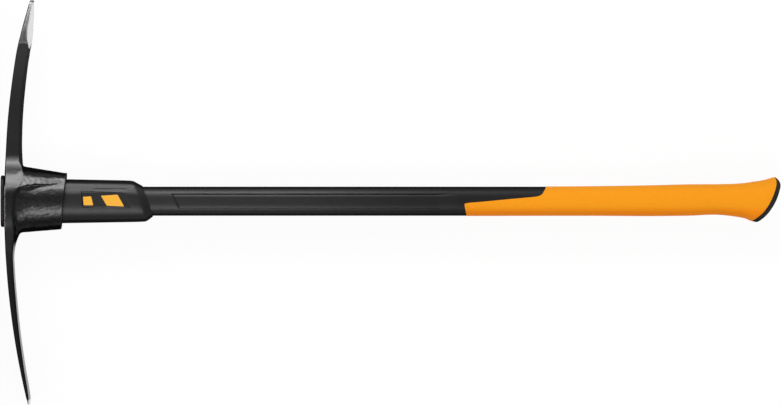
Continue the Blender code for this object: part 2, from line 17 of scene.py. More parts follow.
import bpy
import numpy as np
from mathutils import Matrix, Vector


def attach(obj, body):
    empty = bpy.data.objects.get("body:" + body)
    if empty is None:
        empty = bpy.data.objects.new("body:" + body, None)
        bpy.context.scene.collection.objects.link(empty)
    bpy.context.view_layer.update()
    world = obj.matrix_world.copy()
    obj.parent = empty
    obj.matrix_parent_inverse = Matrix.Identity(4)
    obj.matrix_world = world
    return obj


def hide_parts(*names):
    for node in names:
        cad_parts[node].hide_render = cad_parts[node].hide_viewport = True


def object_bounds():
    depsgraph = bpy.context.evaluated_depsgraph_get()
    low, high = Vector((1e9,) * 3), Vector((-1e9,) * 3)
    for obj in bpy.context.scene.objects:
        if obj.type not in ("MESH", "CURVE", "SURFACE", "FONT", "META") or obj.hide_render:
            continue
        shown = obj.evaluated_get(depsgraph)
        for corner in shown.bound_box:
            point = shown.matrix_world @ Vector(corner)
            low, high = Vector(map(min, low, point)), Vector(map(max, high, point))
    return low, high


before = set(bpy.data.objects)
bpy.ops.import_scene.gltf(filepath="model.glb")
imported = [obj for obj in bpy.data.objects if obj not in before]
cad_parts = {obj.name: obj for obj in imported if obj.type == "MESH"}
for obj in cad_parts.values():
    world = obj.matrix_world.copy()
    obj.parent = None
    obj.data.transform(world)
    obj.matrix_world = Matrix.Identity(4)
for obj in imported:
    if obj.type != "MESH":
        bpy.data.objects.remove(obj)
CAD_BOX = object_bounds()

MM = 0.001
GAP = 0.3
TINY = 1e-6
LOG = logging.getLogger("pickaxe")

Array = np.ndarray
Colour = tuple[float, float, float]
Sizes = tuple[float, ...]
Span = tuple[float, float]
Edge = Callable[[Array], Array]
Piece = bpy.types.Object
Material = bpy.types.Material
Node = bpy.types.Node
Socket = bpy.types.NodeSocket


class Slot(Enum):
    """Material slots of the record, one for each finish of the new pieces."""

    STEEL = "head_steel"
    NYLON = "black_nylon"
    RUBBER = "black_rubber"
    ACCENT = "orange_nylon"
    GRIP = "orange_grip"


class Side(Enum):
    """The two sides of the tool across Z."""

    NEAR = 1
    FAR = -1


# Numbers and shapes


def ease(value: Array | float, start: float, end: float) -> Array:
    """Rise from 0 at start to 1 at end, level at both: 3t^2 - 2t^3, where t is the share of the way.

    Args:
        value: Where the height is wanted.
        start: Where the rise starts.
        end: Where it ends, on either side of start.

    Returns:
        A number from 0 to 1 for each value.
    """
    t = np.clip((value - start) / (end - start), 0.0, 1.0)
    return t * t * (3.0 - 2.0 * t)


def soft_min(a: Array, b: Array, reach: float) -> Array:
    """The lesser of two fields, less (reach - |a - b|)^2 / 4 reach where they are near: a filleted union."""
    near = np.maximum(reach - np.abs(a - b), 0.0)
    return np.minimum(a, b) - near * near / (4.0 * reach)


def soft_max(a: Array, b: Array, reach: float) -> Array:
    """The greater of two fields, blended the same way: an intersection with a rounded edge."""
    return -soft_min(-a, -b, reach)


def unit(rows: Array) -> Array:
    """Each row divided by its length."""
    return rows / np.maximum(np.linalg.norm(rows, axis=-1, keepdims=True), TINY)


def xyz(x: Array | float, y: Array, z: Array) -> Array:
    """Points from their coordinates, each an array or one number, with X, Y and Z along the last axis."""
    return np.stack(np.broadcast_arrays(x, y, z), axis=-1)


def even_angles(sides: int) -> Array:
    """Angles half a step off the axes, evenly round the circle."""
    return 2 * np.pi * (np.arange(sides) + 0.5) / sides


@dataclass(frozen=True)
class Profile:
    """A size that changes smoothly from place to place, such as a width along an arm."""

    places: Sizes
    sizes: Sizes

    def __call__(self, value: Array) -> Array:
        """The size by Hermite's cubic, whose slope at each place is the mean of its neighbours' slopes.

        Args:
            value: Where the size is wanted. Past the ends it stays as it is there.

        Returns:
            The size at each value.
        """
        xs, ys = np.array(self.places, float), np.array(self.sizes, float)
        slope = np.gradient(ys, xs)
        held = np.clip(value, xs[0], xs[-1])
        left = np.clip(np.searchsorted(xs, held, side="right") - 1, 0, len(xs) - 2)
        span = xs[left + 1] - xs[left]
        t = (held - xs[left]) / span
        return (
            (2 * t**3 - 3 * t**2 + 1) * ys[left]
            + (t**3 - 2 * t**2 + t) * span * slope[left]
            + (3 * t**2 - 2 * t**3) * ys[left + 1]
            + (t**3 - t**2) * span * slope[left + 1]
        )


@dataclass(frozen=True)
class Oval:
    """A superellipse across X, |y / half_height|^power + |z / half_width|^power = 1, of one size or many."""

    half_height: Array | float
    half_width: Array | float
    power: Array | float

    def inset(self, by: Array | float) -> Oval:
        """The same oval, smaller by this much all round."""
        return Oval(self.half_height - by, self.half_width - by, self.power)

    def distance(self, y: Array, z: Array) -> Array:
        """Distance from the outline, near enough: (g - 1) over the length of g's gradient.

        Args:
            y: Y of each point.
            z: Z of each point.

        Returns:
            The distance, negative inside. Near the axis, where the gradient fades, it is held to a safe size.
        """
        up, out = np.abs(y) / self.half_height, np.abs(z) / self.half_width
        grade = np.maximum(up**self.power + out**self.power, TINY) ** (1 / self.power)
        less = self.power - 1
        pull = np.sqrt((up**less / self.half_height) ** 2 + (out**less / self.half_width) ** 2)
        floor = 0.5 / np.maximum(self.half_height, self.half_width)
        return (grade - 1) / np.maximum(pull * grade**-less, floor)

    def ring(self, angle: Array) -> tuple[Array, Array]:
        """The outline's points: each half size times the cosine or sine to the power 2 / power, sign kept.

        Args:
            angle: Angles from +Y towards +Z.

        Returns:
            Y and Z at each angle.
        """
        up, out = np.cos(angle), np.sin(angle)
        return (
            self.half_height * np.sign(up) * np.abs(up) ** (2 / self.power),
            self.half_width * np.sign(out) * np.abs(out) ** (2 / self.power),
        )


def surface_net(values: Array, origin: Array, step: float) -> tuple[Array, Array]:
    """The zero surface of a field on a grid, as one vertex for each cell that it crosses.

    Each vertex is the mean of the crossings on its cell's twelve edges, and each grid edge that the surface
    crosses gives one face through the four cells round it.

    Args:
        values: The field, negative inside, indexed by X, Y and Z.
        origin: Place of the first sample.
        step: Distance between samples.

    Returns:
        Points, and faces as rows of four indices that face outwards.
    """
    shape = np.array(values.shape) - 1
    inside = values < 0
    mixed = np.zeros(shape, bool)
    first = inside[:-1, :-1, :-1]
    for i, j, k in product((0, 1), repeat=3):
        mixed |= inside[i : i + shape[0], j : j + shape[1], k : k + shape[2]] != first
    cells = np.argwhere(mixed)
    number = np.full(shape, -1, np.int64)
    number[mixed] = np.arange(len(cells))
    total = np.zeros((len(cells), 3))
    count = np.zeros(len(cells))
    for axis in range(3):
        for corner in product((0, 1), repeat=2):
            start = np.insert(corner, axis, 0)
            end = np.insert(corner, axis, 1)
            a = values[tuple((cells + start).T)]
            b = values[tuple((cells + end).T)]
            crossed = (a < 0) != (b < 0)
            share = np.where(crossed, a / np.where(crossed, a - b, 1), 0)
            spot = cells + start + share[:, None] * (end - start)
            total += np.where(crossed[:, None], spot, 0)
            count += crossed
    points = origin + step * total / count[:, None]
    faces = []
    for axis in range(3):
        one, two = (axis + 1) % 3, (axis + 2) % 3
        low = [slice(1, -1)] * 3
        high = [slice(1, -1)] * 3
        low[axis], high[axis] = slice(0, -1), slice(1, None)
        here, there = inside[tuple(low)], inside[tuple(high)]
        edges = np.argwhere(here != there)
        leaving = here[tuple(edges.T)]
        base = edges + 1
        base[:, axis] -= 1
        around = []
        for back_one, back_two in ((1, 1), (0, 1), (0, 0), (1, 0)):
            cell = base.copy()
            cell[:, one] -= back_one
            cell[:, two] -= back_two
            around.append(number[tuple(cell.T)])
        quads = np.stack(around, axis=1)
        quads[~leaving] = quads[~leaving][:, ::-1]
        faces.append(quads)
    return points, np.concatenate(faces)


def mesh_object(name: str, points: Array, faces: list[Array], sharp: float = 0.7) -> Piece:
    """A smooth shaded object at the origin.

    Args:
        name: Name of the piece.
        points: Rows of X, Y and Z in millimetres.
        faces: Arrays of faces, each of rows of as many indices.
        sharp: Angle in radians past which an edge stays sharp.

    Returns:
        The linked object.
    """
    mesh = bpy.data.meshes.new(name)
    mesh.from_pydata((points * MM).tolist(), [], [row for part in faces for row in part.tolist()])
    mesh.validate()
    mesh.shade_smooth()
    mesh.set_sharp_from_angle(angle=sharp)
    made = bpy.data.objects.new(name, mesh)
    bpy.context.scene.collection.objects.link(made)
    return made


def lattice(rows: int, columns: int, closed: bool) -> Array:
    """Faces of a grid that is closed across its columns: corner (r, c) is point r times columns plus c.

    Args:
        rows: Number of rings.
        columns: Points in each ring.
        closed: Whether the last ring joins the first.

    Returns:
        Rows of four indices.
    """
    row, column = np.meshgrid(np.arange(rows if closed else rows - 1), np.arange(columns), indexing="ij")
    below, beside = (row + 1) % rows, (column + 1) % columns
    round_face = ((row, column), (row, beside), (below, beside), (below, column))
    corners = [ring * columns + place for ring, place in round_face]
    return np.stack([corner.ravel() for corner in corners], axis=1)


def ring_object(name: str, rings: list[Array], hollow: bool) -> Piece:
    """A closed piece through rings of points that run along +X.

    Args:
        name: Name of the piece.
        rings: Rings of as many points each, as X, Y and Z in millimetres.
        hollow: Whether the rings run out along the outside and back along the inside, so that the last one
            joins the first. Otherwise a fan of triangles fills each end.

    Returns:
        The linked object.
    """
    rings = np.asarray(rings)
    rows, columns, _ = rings.shape
    points = rings.reshape(-1, 3)
    faces = [lattice(rows, columns, hollow)]
    if not hollow:
        points = np.concatenate([points, [rings[0].mean(axis=0), rings[-1].mean(axis=0)]])
        here = np.arange(columns)
        beside = (here + 1) % columns
        centre = np.full(columns, rows * columns)
        last = (rows - 1) * columns
        faces.append(np.stack([centre, beside, here], axis=1))
        faces.append(np.stack([centre + 1, last + here, last + beside], axis=1))
    return mesh_object(name, points, faces)


def steps_between(stops: list[tuple[float, float]]) -> Array:
    """Places from stop to stop, each stretch cut evenly at its own spacing.

    Args:
        stops: Each stop with the spacing of the stretch that follows it.

    Returns:
        Rising places, with every stop among them.
    """
    places = []
    for (start, spacing), (end, _) in zip(stops, stops[1:]):
        count = max(1, round((end - start) / spacing))
        places.append(np.linspace(start, end, count, endpoint=False))
    return np.concatenate([*places, [stops[-1][0]]])


def inside_outline(x: Array, y: Array, corners: Array) -> Array:
    """Distance inwards from a convex outline: the least of the distances from its edges.

    Args:
        x: X of each point.
        y: Y of each point.
        corners: The outline's corners, clockwise.

    Returns:
        The distance, negative outside.
    """
    depth = np.full(np.broadcast(x, y).shape, np.inf)
    for start, end in zip(corners, np.roll(corners, -1, axis=0)):
        edge = unit(end - start)
        depth = np.minimum(depth, (x - start[0]) * edge[1] - (y - start[1]) * edge[0])
    return depth


# Finishes


class Nodes:
    """Short ways to place and join shader nodes in one tree."""

    column_width = 180
    row_height = 160
    rows = 4

    def __init__(self, tree: bpy.types.NodeTree) -> None:
        """Keep the tree that the nodes go in."""
        self.tree = tree
        self.column = 0

    def give(self, socket: Socket, value: object) -> None:
        """Link a socket from another, or set its number, vector or colour.

        Args:
            socket: The input socket.
            value: An output socket, a number, or three numbers.
        """
        if isinstance(value, Socket):
            self.tree.links.new(value, socket)
        else:
            socket.default_value = (*value, 1.0) if socket.type == "RGBA" else value

    def set(self, node: Node, **settings: object) -> Node:
        """Set up a node.

        Args:
            node: The node.
            **settings: Its properties by name, and its inputs by title with _ for each space.

        Returns:
            The same node.
        """
        for key, value in settings.items():
            if hasattr(node, key):
                setattr(node, key, value)
            else:
                self.give(node.inputs[key.replace("_", " ")], value)
        return node

    def add(self, kind: str, **settings: object) -> Node:
        """A new node of this kind, set up and placed beside the last.

        Args:
            kind: The node's type.
            **settings: What set takes.

        Returns:
            The node.
        """
        node = self.tree.nodes.new(kind)
        self.column += 1
        node.location = (self.column * self.column_width, -(self.column % self.rows) * self.row_height)
        return self.set(node, **settings)

    def attribute(self, name: str) -> Socket:
        """The number that the mesh keeps under this name."""
        return self.add("ShaderNodeAttribute", attribute_name=name).outputs["Fac"]

    def axis(self, place: Socket, name: str) -> Socket:
        """One coordinate of a place."""
        return self.add("ShaderNodeSeparateXYZ", Vector=place).outputs[name]

    def noise(self, place: Socket, scale: float | Socket, detail: float, roughness: float = 0.5) -> Socket:
        """The value of a noise of this scale, in features for each metre."""
        settings = {"Vector": place, "Scale": scale, "Detail": detail, "Roughness": roughness}
        return self.add("ShaderNodeTexNoise", **settings).outputs["Fac"]

    def spread(self, value: Socket, low: float = 0.0, high: float = 1.0, **settings: object) -> Socket:
        """A value mapped onto the range from low to high, and held to it."""
        node = self.add("ShaderNodeMapRange", Value=value, To_Min=low, To_Max=high, **settings)
        return node.outputs["Result"]

    def math(self, operation: str, first: object, *others: object) -> Socket:
        """One operation carried along a row of values, as in first + second + third.

        Args:
            operation: The Math node's operation.
            first: A number or a socket.
            *others: The numbers or sockets that are taken in after it, one node for each.

        Returns:
            The last node's output.
        """
        for other in others:
            node = self.add("ShaderNodeMath", operation=operation)
            self.give(node.inputs[0], first)
            self.give(node.inputs[1], other)
            first = node.outputs[0]
        return first

    def blend(self, factor: Socket, first: object, second: object) -> Socket:
        """A colour between two, by factor.

        Args:
            factor: 0 for the first colour, 1 for the second.
            first: A colour or a socket.
            second: A colour or a socket.

        Returns:
            The colour.
        """
        node = self.add("ShaderNodeMix", data_type="RGBA")
        factor_input, first_input, second_input = (node.inputs[index] for index in (0, 6, 7))
        self.give(factor_input, factor)
        self.give(first_input, first)
        self.give(second_input, second)
        return node.outputs[2]


def new_group(
    name: str, inputs: dict[str, object], outputs: dict[str, object]
) -> tuple[Nodes, bpy.types.bpy_prop_collection, Node]:
    """An empty shader node group.

    Args:
        name: The group's name.
        inputs: Its inputs' names, each with a first value: a number, a colour, or None for a vector.
        outputs: The same for its outputs.

    Returns:
        A Nodes for the group, its inputs as sockets to read, and the node that takes its outputs.
    """
    tree = bpy.data.node_groups.new(name, "ShaderNodeTree")
    kinds = {float: "NodeSocketFloat", tuple: "NodeSocketColor", type(None): "NodeSocketVector"}
    for direction, sockets in (("INPUT", inputs), ("OUTPUT", outputs)):
        for title, value in sockets.items():
            socket = tree.interface.new_socket(title, in_out=direction, socket_type=kinds[type(value)])
            if value is not None:
                socket.default_value = (*value, 1.0) if isinstance(value, tuple) else value
    nodes = Nodes(tree)
    return nodes, nodes.add("NodeGroupInput").outputs, nodes.add("NodeGroupOutput")


def grain_group() -> bpy.types.NodeTree:
    """Moulded or cast surface: a coarse and a fine noise, as height, changed roughness and patches."""
    nodes, given, made = new_group(
        "surface grain",
        {"Place": None, "Coarse Scale": 200.0, "Fine Scale": 1500.0, "Fine Share": 0.5, "Roughness": 0.5,
         "Roughness Change": 0.1},
        {"Height": 0.0, "Roughness": 0.0, "Patches": 0.0},
    )
    coarse = nodes.noise(given["Place"], given["Coarse Scale"], detail=3.0)
    fine = nodes.noise(given["Place"], given["Fine Scale"], detail=2.0)
    fine_part = nodes.math("MULTIPLY", fine, given["Fine Share"])
    coarse_part = nodes.math("MULTIPLY", coarse, nodes.math("SUBTRACT", 1.0, given["Fine Share"]))
    change = nodes.math("MULTIPLY", nodes.math("SUBTRACT", coarse, 0.5), given["Roughness Change"])
    height = nodes.math("ADD", fine_part, coarse_part)
    nodes.set(made, Height=height, Roughness=nodes.math("ADD", given["Roughness"], change), Patches=coarse)
    return nodes.tree


def marks_group() -> bpy.types.NodeTree:
    """Fine pale specks and handling marks over a base colour, where a noise is above its middle."""
    nodes, given, made = new_group(
        "handling marks",
        {"Place": None, "Base": (0.02, 0.02, 0.02), "Mark": (0.1, 0.1, 0.1), "Scale": 900.0, "Amount": 0.2},
        {"Colour": (0.0, 0.0, 0.0)},
    )
    noise = nodes.noise(given["Place"], given["Scale"], detail=4.0, roughness=0.7)
    specks = nodes.spread(noise, From_Min=0.5, From_Max=0.75)
    amount = nodes.math("MULTIPLY", specks, given["Amount"])
    nodes.set(made, Colour=nodes.blend(amount, given["Base"], given["Mark"]))
    return nodes.tree


@dataclass
class Shared:
    """The node groups that more than one finish uses."""

    grain: bpy.types.NodeTree = field(default_factory=grain_group)
    marks: bpy.types.NodeTree = field(default_factory=marks_group)


@dataclass(frozen=True)
class Finish:
    """What every finish has: colour, marks, grain and gloss. A scale is in features for each metre.

    Each kind of finish has its own wire method, which build calls with the nodes that all of them share.
    """

    name: str
    colour: Colour
    mark: Colour
    mark_amount: float
    mark_scale: float
    roughness: float
    roughness_change: float
    coarse: float
    fine: float
    fine_share: float
    bump: float
    bump_depth: float
    specular: float = 0.5
    gloss: float = 0.0
    gloss_roughness: float = 0.5
    gloss_ior: float = 1.7
    gloss_turn: Span = (0.13, 0.42)
    gloss_spread: Span = (0.55, 1.45)
    glancing_turn: Span = (0.6, 0.9)

    def build(self, shared: Shared) -> Material:
        """The material.

        Args:
            shared: The node groups.

        Returns:
            A material with one Principled shader.
        """
        made = bpy.data.materials.new(self.name)
        made.use_nodes = True
        made.diffuse_color = (*self.colour, 1.0)
        nodes = Nodes(made.node_tree)
        place = nodes.add("ShaderNodeTexCoord").outputs["Object"]
        grain = nodes.add(
            "ShaderNodeGroup", node_tree=shared.grain, Place=place, Coarse_Scale=self.coarse,
            Fine_Scale=self.fine, Fine_Share=self.fine_share, Roughness=self.roughness,
            Roughness_Change=self.roughness_change,
        )
        marks = nodes.add(
            "ShaderNodeGroup", node_tree=shared.marks, Place=place, Base=self.colour, Mark=self.mark,
            Scale=self.mark_scale, Amount=self.mark_amount,
        )
        shader = made.node_tree.nodes["Principled BSDF"]
        nodes.set(shader, Specular_IOR_Level=self.specular)
        self.wire(nodes, shader, place, grain.outputs, marks.outputs["Colour"])
        return made

    def emboss(self, nodes: Nodes, shader: Node, height: Socket) -> None:
        """Bump the shader's surface by a height."""
        bump = nodes.add("ShaderNodeBump", Strength=self.bump, Distance=self.bump_depth, Height=height)
        nodes.set(shader, Normal=bump.outputs["Normal"])

    def add_gloss(
        self, nodes: Nodes, shader: Node, patches: Socket, glancing: Socket | None = None,
        share: Socket | None = None,
    ) -> None:
        """A coat over the base, a little uneven, that is gone where the surface turns away from the eye.

        Args:
            nodes: The material's nodes.
            shader: Its Principled shader.
            patches: Noise that makes the gloss uneven.
            glancing: Where the coat comes back as the surface is seen edge on, or None for nowhere.
            share: How much of the coat each place keeps, or None for all.
        """
        facing = nodes.add("ShaderNodeLayerWeight", Blend=0.5).outputs["Facing"]
        start, end = self.gloss_turn
        fade = nodes.spread(facing, 1.0, 0.0, interpolation_type="SMOOTHSTEP", From_Min=start, From_Max=end)
        least, most = self.gloss_spread
        coat = nodes.math("MULTIPLY", fade, nodes.spread(patches, least * self.gloss, most * self.gloss))
        if glancing is not None:
            start, end = self.glancing_turn
            grazing = nodes.spread(facing, From_Min=start, From_Max=end)
            coat = nodes.math("ADD", coat, nodes.math("MULTIPLY", grazing, glancing))
        if share is not None:
            coat = nodes.math("MULTIPLY", coat, share)
        nodes.set(shader, Coat_Weight=coat, Coat_Roughness=self.gloss_roughness, Coat_IOR=self.gloss_ior)


@dataclass(frozen=True)
class Moulding(Finish):
    """A moulded finish, whose gloss may fade along X and whose colour may turn along Y, in metres; the turn
    along Y is painted shade, a deeper and redder colour towards the underside.
    """

    matt_from: float | None = None
    matt_to: float = 0.0
    matt_share: float = 1.0
    # Painted shade: the colour that the finish turns to towards its underside.
    under: Colour | None = None
    under_shade_from: float = -0.006
    under_shade_to: float = -0.0135

    def wire(
        self, nodes: Nodes, shader: Node, place: Socket, grain: bpy.types.bpy_prop_collection, colour: Socket
    ) -> None:
        """Join the grain and the marks to the shader.

        Args:
            nodes: The material's nodes.
            shader: Its Principled shader.
            place: The Object coordinates.
            grain: The grain group's outputs.
            colour: The marked colour.
        """
        self.emboss(nodes, shader, grain["Height"])
        # Painted shade: below the axis the colour turns deeper and redder towards the underside.
        if self.under is not None:
            below = nodes.spread(nodes.axis(place, "Y"), From_Min=self.under_shade_from, From_Max=self.under_shade_to)
            colour = nodes.blend(below, colour, self.under)
        nodes.set(shader, Base_Color=colour, Roughness=grain["Roughness"])
        share = None
        if self.matt_from is not None:
            share = nodes.spread(
                nodes.axis(place, "X"), 1.0, self.matt_share, interpolation_type="SMOOTHSTEP",
                From_Min=self.matt_from, From_Max=self.matt_to,
            )
        if self.gloss:
            self.add_gloss(nodes, shader, grain["Height"], share=share)


@dataclass(frozen=True)
class PaintedForging(Finish):
    """Black paint on a rough forging, with ground bare steel where the mesh's bare number is 1, and painted
    light: paler paint along the pick arm towards the point, and a painted reflection in the leaf's pale
    colour.

    The other numbers that the mesh keeps are told of at the head's methods of the same names.
    """

    # Painted light: the paler paint that the pick arm turns to near the point.
    arm_paint_and_light: Colour = (0.0245, 0.0248, 0.0260)
    chip: Colour = (0.46, 0.455, 0.44)
    chip_scale: float = 900.0
    chip_levels: Span = (0.64, 0.76)
    chip_help: float = 0.2
    # The leaf's colours are bare ground steel's and also a painted reflection: their pale tone, half of it
    # left non-metal, shows bright under any lamp.
    leaf_steel_and_glint: Colour = (0.84, 0.84, 0.82)
    leaf_dark_steel_and_glint: Colour = (0.72, 0.72, 0.71)
    leaf_smoothing: float = 0.36
    leaf_metal_for_glint: float = 0.5
    ridge_metal: float = 0.15
    ground_light: Colour = (0.60, 0.60, 0.61)
    ground_dark: Colour = (0.25, 0.25, 0.26)
    least_bare: float = 0.02
    bare_levels: Span = (0.4, 0.6)
    raggedness: float = 0.5
    scratch_scale: float = 1600.0
    scratch_turn: float = 0.45
    scratch_stretch: float = 0.06
    scratch_contrast: Span = (-0.6, 1.6)
    scratch_height: float = 0.05
    scratch_roughness: Span = (0.24, 0.46)
    detail: float = 3.0
    smooth_gloss: float = 0.5
    fleck: float = 0.24
    fleck_levels: Span = (0.43, 0.61)
    dull_share: float = 0.1

    def wire(
        self, nodes: Nodes, shader: Node, place: Socket, grain: bpy.types.bpy_prop_collection, colour: Socket
    ) -> None:
        """Lay bare steel, chips and flecks over the paint.

        Args:
            nodes: The material's nodes.
            shader: Its Principled shader.
            place: The Object coordinates.
            grain: The grain group's outputs.
            colour: The marked colour of the paint.
        """
        names = ("bare", "leaf", "ridge", "pale", "front", "dull", "pitted", "worn")
        bare, leaf, ridge, pale, front, dull, pitted, worn = (nodes.attribute(name) for name in names)
        ragged = nodes.math("MULTIPLY", nodes.math("SUBTRACT", grain["Patches"], 0.5), self.raggedness)
        low, high = self.bare_levels
        mask = nodes.spread(nodes.math("ADD", bare, ragged), From_Min=low, From_Max=high)
        shown = nodes.math("MULTIPLY", mask, nodes.math("GREATER_THAN", bare, self.least_bare))
        painted = nodes.math("SUBTRACT", 1.0, shown)

        stretched = nodes.add(
            "ShaderNodeMapping", Vector=place, Rotation=(0.0, 0.0, self.scratch_turn),
            Scale=(1.0, self.scratch_stretch, 1.0),
        )
        scratches = nodes.noise(stretched.outputs["Vector"], self.scratch_scale, self.detail)
        lines = nodes.spread(scratches, *self.scratch_contrast)
        ground_streaks = nodes.blend(lines, self.ground_dark, self.ground_light)
        # On the leaf the pale streaks are steel colour and partly a painted reflection.
        streaks = nodes.blend(leaf, ground_streaks, nodes.blend(lines, self.leaf_dark_steel_and_glint, self.leaf_steel_and_glint))

        low, high = self.chip_levels
        helped = nodes.math("MULTIPLY", worn, self.chip_help)
        flakes = nodes.math("ADD", nodes.noise(place, self.chip_scale, self.detail), helped)
        chipped = nodes.math("MULTIPLY", nodes.spread(flakes, From_Min=low, From_Max=high), worn)
        # Painted light: the paint turns paler along the pick arm towards the point.
        coat = nodes.blend(chipped, nodes.blend(pale, colour, self.arm_paint_and_light), self.chip)

        smoothed = nodes.spread(leaf, 1.0, self.leaf_smoothing)
        steel_roughness = nodes.math("MULTIPLY", nodes.spread(scratches, *self.scratch_roughness), smoothed)
        steel_part = nodes.math("MULTIPLY", shown, steel_roughness)
        paint_part = nodes.math("MULTIPLY", painted, grain["Roughness"])
        # Only half metal on the leaf, so its pale colour shows as a painted reflection.
        leaf_part = nodes.spread(leaf, 1.0, self.leaf_metal_for_glint)
        ridge_part = nodes.spread(ridge, 1.0, self.ridge_metal)
        nodes.set(
            shader, Base_Color=nodes.blend(shown, coat, streaks),
            Roughness=nodes.math("ADD", steel_part, paint_part),
            Metallic=nodes.math("MULTIPLY", shown, leaf_part, ridge_part),
        )
        pits = nodes.math("MULTIPLY", grain["Height"], pitted)
        cuts = nodes.math("MULTIPLY", scratches, shown, self.scratch_height)
        self.emboss(nodes, shader, nodes.math("ADD", pits, cuts))

        low, high = self.fleck_levels
        flecks = nodes.spread(grain["Height"], -self.fleck, self.fleck, From_Min=low, From_Max=high)
        uneven = nodes.math("ADD", self.smooth_gloss, nodes.math("MULTIPLY", flecks, pitted))
        patches = nodes.math("MULTIPLY", painted, uneven, nodes.spread(dull, 1.0, self.dull_share))
        self.add_gloss(nodes, shader, patches, glancing=front)


FORGING = PaintedForging(
    name="painted forging", colour=(0.0036, 0.0037, 0.0040), mark=(0.02, 0.02, 0.019), mark_amount=0.25,
    mark_scale=700.0, roughness=0.36, roughness_change=0.25, coarse=210.0, fine=560.0, fine_share=0.50,
    bump=1.0, bump_depth=0.0008, specular=0.0, gloss=0.9, gloss_roughness=0.33, gloss_ior=1.83,
)
NYLON = Moulding(
    name="black nylon", colour=(0.012, 0.012, 0.012), mark=(0.035, 0.035, 0.035), mark_amount=0.2,
    mark_scale=1300.0, roughness=0.50, roughness_change=0.10, coarse=120.0, fine=2600.0, fine_share=0.75,
    bump=0.35, bump_depth=0.0002, specular=0.0, gloss=0.86, gloss_roughness=0.43,
)
SHELL_NYLON = replace(
    NYLON, name="handle nylon", gloss=0.9, gloss_roughness=0.46, matt_from=0.30, matt_to=0.56, matt_share=0.48
)
RUBBER = Moulding(
    name="black rubber", colour=(0.016, 0.016, 0.015), mark=(0.05, 0.05, 0.045), mark_amount=0.25,
    mark_scale=1600.0, roughness=0.62, roughness_change=0.12, coarse=260.0, fine=2200.0, fine_share=0.8,
    bump=0.5, bump_depth=0.0003, specular=0.02, gloss=0.5, gloss_roughness=0.55,
)
# The grip's under colour is painted shade: a deeper, redder orange towards its underside.
SOFT_GRIP = Moulding(
    name="orange soft grip", colour=(0.92, 0.328, 0.010), mark=(0.88, 0.26, 0.006), mark_amount=0.35,
    mark_scale=260.0, roughness=0.62, roughness_change=0.10, coarse=350.0, fine=2400.0, fine_share=0.7,
    bump=0.4, bump_depth=0.0005, specular=0.15, under=(0.95, 0.262, 0.006),
)
ACCENT = Moulding(
    name="orange nylon", colour=(0.96, 0.47, 0.045), mark=(0.93, 0.37, 0.03), mark_amount=0.3,
    mark_scale=500.0, roughness=0.42, roughness_change=0.08, coarse=300.0, fine=2400.0, fine_share=0.7,
    bump=0.25, bump_depth=0.0003, specular=0.45,
)
FIBREGLASS = Moulding(
    name="fibreglass", colour=(0.52, 0.48, 0.32), mark=(0.66, 0.63, 0.50), mark_amount=0.6,
    mark_scale=900.0, roughness=0.4, roughness_change=0.2, coarse=400.0, fine=2500.0, fine_share=0.5,
    bump=0.4, bump_depth=0.0004,
)
COMPOUND = Moulding(
    name="bonding compound", colour=(0.22, 0.22, 0.21), mark=(0.34, 0.34, 0.32), mark_amount=0.6,
    mark_scale=500.0, roughness=0.6, roughness_change=0.2, coarse=300.0, fine=1500.0, fine_share=0.5,
    bump=0.5, bump_depth=0.0005,
)


def stand_in(piece: Piece, finish: Material, slot: Slot, node: str) -> None:
    """Dress a piece and let it ride on the tool in place of a solid.

    Args:
        piece: The new piece.
        finish: Its material.
        slot: The record's material slot that it takes its finish from; not used.
        node: Name of the solid that it stands for.
    """
    piece.data.materials.append(finish)
    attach(piece, "root")
    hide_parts(node)
    LOG.info("%s: %d faces, %s", piece.name, len(piece.data.polygons), finish.name)


# The forged head


